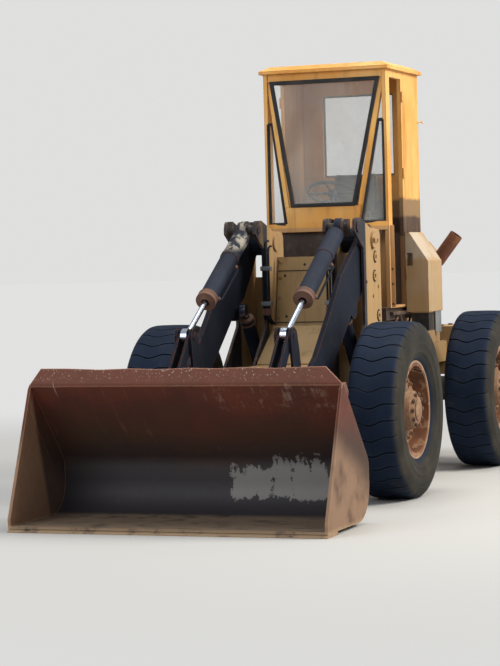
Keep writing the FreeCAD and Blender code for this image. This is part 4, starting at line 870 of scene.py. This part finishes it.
class LOADER_OT_gaskets(Piece, bpy.types.Operator):
    """Rubber round the windscreen, the quarter windows and the rear window"""

    bl_idname = "loader.gaskets"
    bl_label = "Window rubber"

    def make(self):
        wide = sizes().gasket
        rear = aft(1.953)
        low, high = (0.262, aft(1.004), 2.140), (0.452, aft(1.092), 3.135)
        self.add_frame("windscreen_rubber", low, high, 0.022, wide)
        self.add_frame("rear_window_rubber", (0.31, rear, 2.39), (0.31, rear, 3.07), 0.018, wide * 0.8)
        sill, lintel, post = 2.016, 2.800, aft(1.094)
        for side, name in SIDES:
            foot, corner = (side * 0.311, aft(1.007), sill), (side * 0.472, post, sill)
            apex, top = (side * 0.434, aft(1.088), lintel), (side * 0.472, post, lintel)
            beads = [bar("bead", start, end, 0.013, 12, 0.0)
                     for start, end in ((foot, corner), (foot, apex), (corner, top), (apex, top))]
            dress(joined("quarter_rubber_" + name, beads), "black_rubber", "rear_frame")

    def add_frame(self, name, low, high, thick, wide):
        """A frame of rubber: its lower and its upper corner on the left, and their twins on the right."""
        twins = [Vector((-x, y, z)) for x, y, z in (low, high)]
        rubber = slab(name, [twins[0], low, high, twins[1]], thick, wide, 0.004)
        dress(rubber, "black_rubber", "rear_frame")


class LOADER_OT_cylinders(Piece, bpy.types.Operator):
    """Glands on the tilt and lift cylinders, and ports and a hard pipe on each tilt cylinder"""

    bl_idname = "loader.cylinders"
    bl_label = "Cylinders"

    tilt_out, lift_out = 0.370, 0.385
    tilt_gland_at, lift_gland_at = 0.922, 0.818
    ports_at = (0.865, 0.440)

    def make(self):
        for side, name in SIDES:
            self.add_tilt_fittings(side, name)
            self.add_lift_fittings(side, name)

    def line_of(self, cylinder, out):
        """Where a cylinder's base pin is on one side, and the way that its rod moves."""
        pin = JOINTS[cylinder + "_swing"]["pos_m"]
        return Vector((out, pin[1], pin[2])), Vector(JOINTS[cylinder + "_stroke"]["axis"]).normalized()

    def add_tilt_fittings(self, side, name):
        start, way = self.line_of("tilt_cylinder", side * self.tilt_out)
        gland = turned("gland_" + name, start + way * self.tilt_gland_at, way,
                       [(0.0, 0.0712), (0.0, 0.0745), (0.014, 0.0745), (0.018, 0.0712), (0.044, 0.0712),
                        (0.048, 0.0745), (0.062, 0.0745), (0.066, 0.052), (0.074, 0.030)], closed=True)
        dress(gland, "gland_rust", "tilt_barrels")
        over = Vector((0, way.z, -way.y))
        beside = Vector((0.643, 0, 0)) - over * 0.766
        near, far = [start + way * along for along in self.ports_at]
        ports = []
        for base in (near, far):
            ports.append(bar("port", base + beside * 0.050, base + beside * 0.080, 0.019, 24, 0.003))
            ports.append(bar("port_nut", base + beside * 0.066, base + beside * 0.084, 0.017, 6, 0.002))
        dress(joined("tilt_ports_" + name, ports), "gland_rust", "tilt_barrels")
        route = [(near, 0.080, 0.0), (near, 0.094, -0.004), (near, 0.096, -0.035), (far, 0.096, 0.200),
                 (far, 0.096, 0.035), (far, 0.094, 0.004), (far, 0.080, 0.0)]
        hard_pipe("tilt_pipe_" + name, [port + beside * off + way * along for port, off, along in route],
                  "tilt_barrels")

    def add_lift_fittings(self, side, name):
        start, way = self.line_of("lift_cylinder", side * self.lift_out)
        gland = turned("lift_gland_" + name, start + way * self.lift_gland_at, way,
                       [(0.0, 0.0510), (0.0, 0.0560), (0.016, 0.0560), (0.018, 0.0530), (0.040, 0.0530),
                        (0.042, 0.0560), (0.058, 0.0560), (0.062, 0.034), (0.066, 0.028)], closed=True)
        dress(gland, "gland_rust", "lift_barrels")


class LOADER_OT_towers(Piece, bpy.types.Operator):
    """What is on the towers and the cover: pin keepers, outlined holes, seams, bolts and hard pipes"""

    bl_idname = "loader.towers"
    bl_label = "Towers"

    outer = 0.515
    # Places on a tower's side, as (distance behind the front axle, height).
    bosses = ((0.667, 1.745), (0.644, 1.601), (0.724, 1.301))
    small_bolts = ((0.735, 1.520), (0.440, 1.560), (0.600, 1.450))
    upper_slot = ((0.575, 1.895), (0.600, 1.900), (0.612, 1.860), (0.600, 1.800), (0.578, 1.800),
                  (0.580, 1.850))
    lower_slot = ((0.690, 1.245), (0.712, 1.262), (0.734, 1.245), (0.738, 1.120), (0.714, 1.100),
                  (0.690, 1.120))
    # Each hard pipe's distance from the middle and the height of its upper bend.
    pipes = ((0.232, 1.800), (0.254, 1.840), (0.276, 1.870))
    pipe_line = aft(0.366)
    seam_heights = (1.262, 1.652)
    cover_top, cover_drop, cover_lean = 1.760, 0.520, 0.100

    def make(self):
        for side, name in SIDES:
            self.add_outlines(side, name)
            self.add_keeper(side, name)
            self.add_pipes(side, name)
        self.add_seams()

    def add_outlines(self, side, name):
        """Black rings and slots on the tower's outer plate."""
        pieces = [turned("ring", (side * (self.outer - 0.001), aft(along), high), (side, 0, 0),
                         [(0.0, 0.038), (0.0, 0.047), (0.003, 0.047), (0.003, 0.038)], closed=True)
                  for along, high in self.bosses]
        for corners in (self.upper_slot, self.lower_slot):
            spots = [(side * (self.outer + 0.0012), aft(along), high) for along, high in corners]
            pieces.append(slab("slot", spots, 0.0035, 0.008, 0.0))
        dress(joined("tower_outlines_" + name, pieces), "black_rubber", "front_frame")

    def add_keeper(self, side, name):
        """The plate that holds the arms' pin, its two bolts and three more on the tower."""
        _, pin_y, pin_z = JOINTS["lift"]["pos_m"]
        low, high = span(side, 0.531, 0.541)
        keeper = block("keeper", (low, pin_y - 0.052, pin_z - 0.018), (high, pin_y + 0.052, pin_z + 0.018),
                       0.003)
        out = (side, 0, 0)
        spots = [(side * 0.541, pin_y + shift, pin_z) for shift in (-0.036, 0.036)]
        nuts = bolts("keeper_bolts", spots, out, 0.012, 0.008)
        spots = [(side * self.outer, aft(along), high) for along, high in self.small_bolts]
        small = bolts("tower_bolts", spots, out, 0.011, 0.007)
        dress(joined("pin_keeper_" + name, [keeper, nuts, small]), "tower_tan", "front_frame")

    def add_pipes(self, side, name):
        """Three hard pipes down the front of the tower's inner plate, with their clamps and their nuts."""
        y = self.pipe_line
        for number, (out, top) in enumerate(self.pipes):
            route = ((y + 0.070, top + 0.045), (y + 0.020, top + 0.045), (y, top), (y, 1.700), (y, 1.500),
                     (y, 1.340), (y + 0.020, 1.285), (y + 0.110, 1.255))
            points = [(side * out, *spot) for spot in route]
            hard_pipe("tower_pipe_%s_%d" % (name, number), points, "front_frame")
        low, high = span(side, 0.212, 0.294)
        clamps = [block("clamp", (low, aft(0.350), foot), (high, aft(0.392), foot + 0.034), 0.004)
                  for foot in (1.395, 1.660)]
        dress(joined("pipe_clamps_" + name, clamps), "slate_grey", "front_frame")
        nuts = [bar("nut", (side * out, y, 1.325), (side * out, y, 1.375), 0.0145, 6, 0.002)
                for out, _ in self.pipes]
        dress(joined("pipe_nuts_" + name, nuts), "gland_rust", "front_frame")

    def cover_at(self, high):
        """How far back the leaning cover is at a height."""
        return aft(0.600) - (self.cover_top - high) * self.cover_lean / self.cover_drop

    def add_seams(self):
        """The cover's seams, its bolts and a few open bolt holes."""
        pieces = []
        for high in reversed(self.seam_heights):
            y = self.cover_at(high)
            pieces.append(block("seam", (-0.236, y - 0.003, high), (0.236, y + 0.006, high + 0.007), 0.001))
        for left in (-0.238, 0.232):
            ends = [(self.cover_at(high) - 0.001, high) for high in (self.seam_heights[0], 1.740)]
            right = left + 0.006
            corners = [(left, *ends[0]), (right, *ends[0]), (right, *ends[1]), (left, *ends[1])]
            pieces.append(slab("seam", corners, 0.004, 0.0, 0.0))
        for x, high in ((-0.175, 1.618), (0.120, 1.600), (-0.150, 1.310), (0.185, 1.330), (-0.02, 1.700)):
            y = self.cover_at(high)
            pieces.append(bar("hole", (x, y - 0.0025, high), (x, y + 0.004, high), 0.010, 16, 0.0))
        dress(joined("cover_seams", pieces), "black_rubber", "front_frame")
        spots = [(x, self.cover_at(high) - 0.001, high) for high in (1.30, 1.45, 1.60, 1.72)
                 for x in (-0.215, 0.215)]
        heads = bolts("cover_bolts", spots, (0, -1, -0.19), 0.010, 0.007)
        # The cover's bolts take the cover's tan with painted shade.
        dress(heads, "panel_tan", "front_frame")


class LOADER_OT_cab(Piece, bpy.types.Operator):
    """The cab's fittings: front sheet, ledges, braces, hinges, gutter and levers"""

    bl_idname = "loader.cab"
    bl_label = "Cab fittings"

    sheet_front = aft(1.119)
    knob = ((0.0, 0.010), (0.012, 0.019), (0.030, 0.022), (0.046, 0.016), (0.052, 0.006))

    def make(self):
        self.add_front_sheet()
        for side, name in SIDES:
            self.add_sheet_holes(side, name)
            self.add_ledge(side, name)
            self.add_hinges(side, name)
        self.add_gutter()
        self.add_levers()

    def add_front_sheet(self):
        """The sheet across the cab's front below its sill, a little wider than the cab."""
        front = self.sheet_front
        sheet = block("cab_front_sheet", (-0.530, front, 1.352), (0.530, front + 0.008, 1.985), 0.002)
        dress(sheet, "cab_ochre", "rear_frame")

    def add_sheet_holes(self, side, name):
        """Three open holes in the sheet beside the tower."""
        out, front = side * 0.512, self.sheet_front
        dark = [bar("hole", (out, front - 0.002, high), (out, front + 0.002, high), 0.008, 16, 0.0)
                for high in (1.645, 1.530, 1.375)]
        dress(joined("sheet_holes_" + name, dark), "black_rubber", "rear_frame")

    def add_ledge(self, side, name):
        """The ledge under the cab's side, its braces and lower rail, and the hanger of the side tank."""
        low, high = span(side, 0.470, 0.5015)
        pieces = [block("ledge", (low, 0.470, 1.285), (high, 1.215, 1.312), 0.003)]
        out = side * 0.478
        for start, end in ((0.520, 0.660), (0.840, 0.700), (0.900, 1.020)):
            pieces.append(bar("brace", (out, start, 1.155), (out, end, 1.290), 0.010, 12, 0.0))
        pieces.append(block("rail", (low, 0.500, 1.135), (high - 0.006 * (side > 0), 1.100, 1.160), 0.003))
        # The ledge, braces and rail are painted near-black as shade.
        dress(joined("ledge_" + name, pieces), "dark_skirt", "rear_frame")
        low, high = span(side, 0.672, 0.684)
        hanger = block("tank_hanger_" + name, (low, 1.010, 1.130), (high, 1.170, 1.306), 0.003)
        dress(hanger, "slate_grey", "rear_frame")

    def add_hinges(self, side, name):
        """Three hinges with their leaves beside the doorway, and the hook on the rear post."""
        out, post = side * 0.508, 0.812
        low, high = span(side, 0.499, 0.5045)
        pieces = []
        for foot in (1.560, 2.350, 2.950):
            pieces.append(bar("hinge", (out, post, foot), (out, post, foot + 0.085), 0.009, 16, 0.001))
            near, far = (low, post + 0.002, foot + 0.008), (high, post + 0.050, foot + 0.077)
            pieces.append(block("leaf", near, far, 0.001))
        bend = (side * 0.530, 1.262, 2.818)
        pieces.append(bar("hook", (side * 0.498, 1.235, 2.810), bend, 0.005, 10, 0.0))
        pieces.append(bar("hook", bend, (side * 0.545, 1.262, 2.802), 0.005, 10, 0.0))
        dress(joined("door_hinges_" + name, pieces), "cab_ochre", "rear_frame")

    def add_gutter(self):
        """The folded lip under the roof's edge."""
        front, rear, under = aft(1.052), aft(1.962), 3.196
        corners = [(-0.522, front, under), (0.522, front, under), (0.522, rear, under), (-0.522, rear, under)]
        dress(slab("roof_gutter", corners, 0.012, 0.020, 0.002), "cab_ochre", "rear_frame")

    def add_levers(self):
        """Three levers beside the seat with their knobs."""
        levers, knobs = [], []
        for x, lean in ((-0.275, 0.02), (-0.325, 0.05), (0.275, 0.03)):
            top = Vector((x, 0.640 - lean, 2.060))
            levers.append(bar("lever", (x, 0.640, 1.340), top, 0.007, 14, 0.0))
            knobs.append(turned("knob", top - Vector((0, 0, 0.006)), (0, 0, 1), self.knob))
        dress(joined("cab_levers", levers), "slate_grey", "rear_frame")
        dress(joined("lever_knobs", knobs), "black_rubber", "rear_frame")


class LOADER_OT_wheels(Piece, bpy.types.Operator):
    """Studs, hub bolts and cap, the lock ring and the valve of each rim"""

    bl_idname = "loader.wheels"
    bl_label = "Wheel fittings"

    stud_circle, stud_count = 0.205, 12
    hub_circle, hub_count = 0.112, 10

    def make(self):
        for place, side, y in WHEELS:
            rim = [vertex.co for vertex in frame["nodes"]["rim_" + place].data.vertices]
            reach = [(math.hypot(spot.y - y, spot.z - AXLE_HEIGHT), spot.x * side) for spot in rim]
            nut_face = max(out for radius, out in reach if 0.19 < radius < 0.22)
            hub_face = max(out for radius, out in reach if radius < 0.14)
            faces = (nut_face, hub_face, HALF_TRACK)
            disc, hub, middle = [Vector((out * side, y, AXLE_HEIGHT)) for out in faces]
            self.add_bolts(place, side, disc, hub)
            self.add_rings(place, side, hub, middle)

    def add_bolts(self, place, side, disc, hub):
        """The studs of the disc and the bolts of the hub."""
        studs = [bar("stud", spot, Vector(spot) + Vector((side * 0.009, 0, 0)), 0.0085, 12, 0.001)
                 for spot in ring_of(disc, self.stud_circle, self.stud_count)]
        dress(joined("wheel_studs_" + place, studs), "gland_rust", "wheel_" + place)
        spots = ring_of(hub, self.hub_circle, self.hub_count)
        heads = bolts("hub_bolts_" + place, spots, (side, 0, 0), 0.014, 0.009)
        dress(heads, "gland_rust", "wheel_" + place)

    def add_rings(self, place, side, hub, middle):
        """The hub's cap, the lock ring and the valve."""
        way = (side, 0, 0)
        cap = turned("hub_cap_" + place, hub - Vector((side * 0.001, 0, 0)), way,
                     [(0.0, 0.078), (0.010, 0.078), (0.014, 0.070), (0.016, 0.030)])
        dress(cap, "rusty_rim", "wheel_" + place)
        profile = [(0.0, 0.3200), (0.0, 0.3290), (0.010, 0.3290), (0.014, 0.3240), (0.014, 0.3200)]
        seat = middle + Vector((side * 0.128, 0, 0))
        ring = turned("lock_ring_" + place, seat, way, profile, 64, closed=True)
        dress(ring, "rusty_rim", "wheel_" + place)
        foot = middle + Vector((side * 0.110, 0.10, 0.285))
        stem, cap_start, cap_end = [foot + Vector((side * out, y, z)) for out, y, z in (
            (0.045, -0.006, -0.012), (0.043, -0.006, -0.012), (0.058, -0.008, -0.016))]
        valve = [bar("valve", foot, stem, 0.005, 10, 0.0),
                 bar("valve_cap", cap_start, cap_end, 0.0065, 10, 0.0)]
        dress(joined("valve_" + place, valve), "black_rubber", "wheel_" + place)


class LOADER_OT_bucket(Piece, bpy.types.Operator):
    """Bolts along the bucket's cutting edge"""

    bl_idname = "loader.bucket"
    bl_label = "Bucket fittings"

    def make(self):
        _, top = box_of("cutting_edge")
        heads = [turned("edge_bolt", (x, top.y - 0.055, top.z), (0, 0, 1),
                        [(0.0, 0.016), (0.003, 0.016), (0.006, 0.009)], 16)
                 for x in (-0.95, -0.70, -0.42, -0.14, 0.14, 0.42, 0.70, 0.95)]
        dress(joined("edge_bolts", heads), "bucket_rust", "bucket")


class LOADER_OT_tail(Piece, bpy.types.Operator):
    """The hood's hinges and catches, and the bolts of the tail weight"""

    bl_idname = "loader.tail"
    bl_label = "Hood and tail"

    def make(self):
        self.add_hood_fittings(*box_of("engine_hood"))
        low, high = box_of("counterweight")
        spots = [(side * 0.30, y, high.z) for side, _ in SIDES for y in (low.y + 0.10, high.y - 0.22)]
        dress(bolts("weight_bolts", spots, (0, 0, 1), 0.020, 0.014), "gland_rust", "rear_frame")

    def add_hood_fittings(self, low, high):
        """Hinges along the hood's top and catches low on its sides."""
        metal, dark = [], []
        top, foot = high.z + 0.004, low.z + 0.055
        for side, _ in SIDES:
            face = side * high.x
            for along in (low.y + 0.22, low.y + 0.74):
                start = Vector((side * 0.20, along, top))
                metal.append(bar("hinge", start, start + Vector((0, 0.09, 0)), 0.008, 14, 0.001))
            left, right = span(side, high.x, high.x + 0.007)
            for along in (low.y + 0.12, low.y + 0.80):
                metal.append(block("catch", (left, along, foot), (right, along + 0.036, foot + 0.060), 0.002))
                pin = Vector((face, along + 0.018, foot + 0.030))
                dark.append(bar("catch_pin", pin, pin + Vector((side * 0.013, 0, 0)), 0.008, 14, 0.001))
        # The hood's fittings take the tan with painted shade.
        dress(joined("hood_fittings", metal), "panel_tan", "rear_frame")
        dress(joined("hood_catch_pins", dark), "black_rubber", "rear_frame")


class LOADER_OT_seat(Piece, bpy.types.Operator):
    """The seat's cushion and back, swollen as cloth over their fillings"""

    bl_idname = "loader.seat"
    bl_label = "Seat"

    most_swell = 0.012
    cloth_frames = 20

    def make(self):
        cushion = self.pad("cushion_pad", (-0.214, 0.728, 1.9775), (0.214, 1.112, 2.062), 0.0)
        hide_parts("seat_cushion")
        back = self.pad("back_pad", (-0.196, 1.068, 2.092), (0.196, 1.132, 2.420), 0.150)
        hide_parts("seat_back")

    def pad(self, name, low, high, lean):
        """A pad between two corners: its block leans back, is swollen and keeps within its space."""
        pad = block(name, low, high, 0.018)
        for vertex in pad.data.vertices:
            rise = vertex.co.z - low[2]
            vertex.co.y += rise * lean
            vertex.co.x *= 1.0 - 0.45 * lean * rise / (high[2] - low[2])
        with_modifier(pad, "REMESH", mode="VOXEL", voxel_size=0.008)
        self.swell(pad)
        with_modifier(pad, "SMOOTH", factor=0.5, iterations=4)
        with_modifier(pad, "SUBSURF", levels=1, render_levels=1)
        alone(pad)
        bpy.ops.object.shade_smooth()
        dress(pad, "seat_vinyl", "rear_frame")
        return pad

    def swell(self, pad):
        """Let pressure swell the pad as cloth, and hold each point near where it was."""
        still = [vertex.co.copy() for vertex in pad.data.vertices]
        alone(pad)
        cloth = pad.modifiers.new("cloth", "CLOTH")
        cloth.settings.use_pressure = True
        cloth.settings.uniform_pressure_force = 4.0
        cloth.settings.effector_weights.gravity = 0.0
        for number in range(1, self.cloth_frames + 1):
            bpy.context.scene.frame_set(number)
        bpy.ops.object.modifier_apply(modifier=cloth.name)
        bpy.context.scene.frame_set(1)
        for vertex, place in zip(pad.data.vertices, still):
            moved = vertex.co - place
            if moved.length > self.most_swell:
                vertex.co = place + moved.normalized() * self.most_swell


class LOADER_PT_panel(bpy.types.Panel):
    """The loader's pieces, sizes and colours"""

    bl_label = "Wheel loader"
    bl_idname = "LOADER_PT_panel"
    bl_space_type = "VIEW_3D"
    bl_region_type = "UI"
    bl_category = "Loader"

    def draw(self, context):
        for group in (context.scene.loader_sizes, context.scene.loader_colours):
            box = self.layout.box()
            for name in group.__annotations__:
                box.prop(group, name)
        for maker in MAKERS:
            self.layout.operator(maker.bl_idname)


GROUPS = (LoaderColours, LoaderSizes)
MAKERS = (LOADER_OT_finishes, LOADER_OT_stage, LOADER_OT_tyres, LOADER_OT_gaskets, LOADER_OT_cylinders,
          LOADER_OT_towers, LOADER_OT_cab, LOADER_OT_tail, LOADER_OT_wheels, LOADER_OT_bucket, LOADER_OT_seat)


def register():
    for kind in (*GROUPS, *MAKERS, LOADER_PT_panel):
        bpy.utils.register_class(kind)
    bpy.types.Scene.loader_colours = PointerProperty(type=LoaderColours)
    bpy.types.Scene.loader_sizes = PointerProperty(type=LoaderSizes)


def unregister():
    del bpy.types.Scene.loader_sizes
    del bpy.types.Scene.loader_colours
    for kind in (LOADER_PT_panel, *reversed(MAKERS), *reversed(GROUPS)):
        bpy.utils.unregister_class(kind)


def main():
    """Make the finishes, the stage and every piece."""
    register()
    for maker in MAKERS:
        group, operator = maker.bl_idname.split(".")
        getattr(getattr(bpy.ops, group), operator)()


if __name__ == "__main__":
    main()
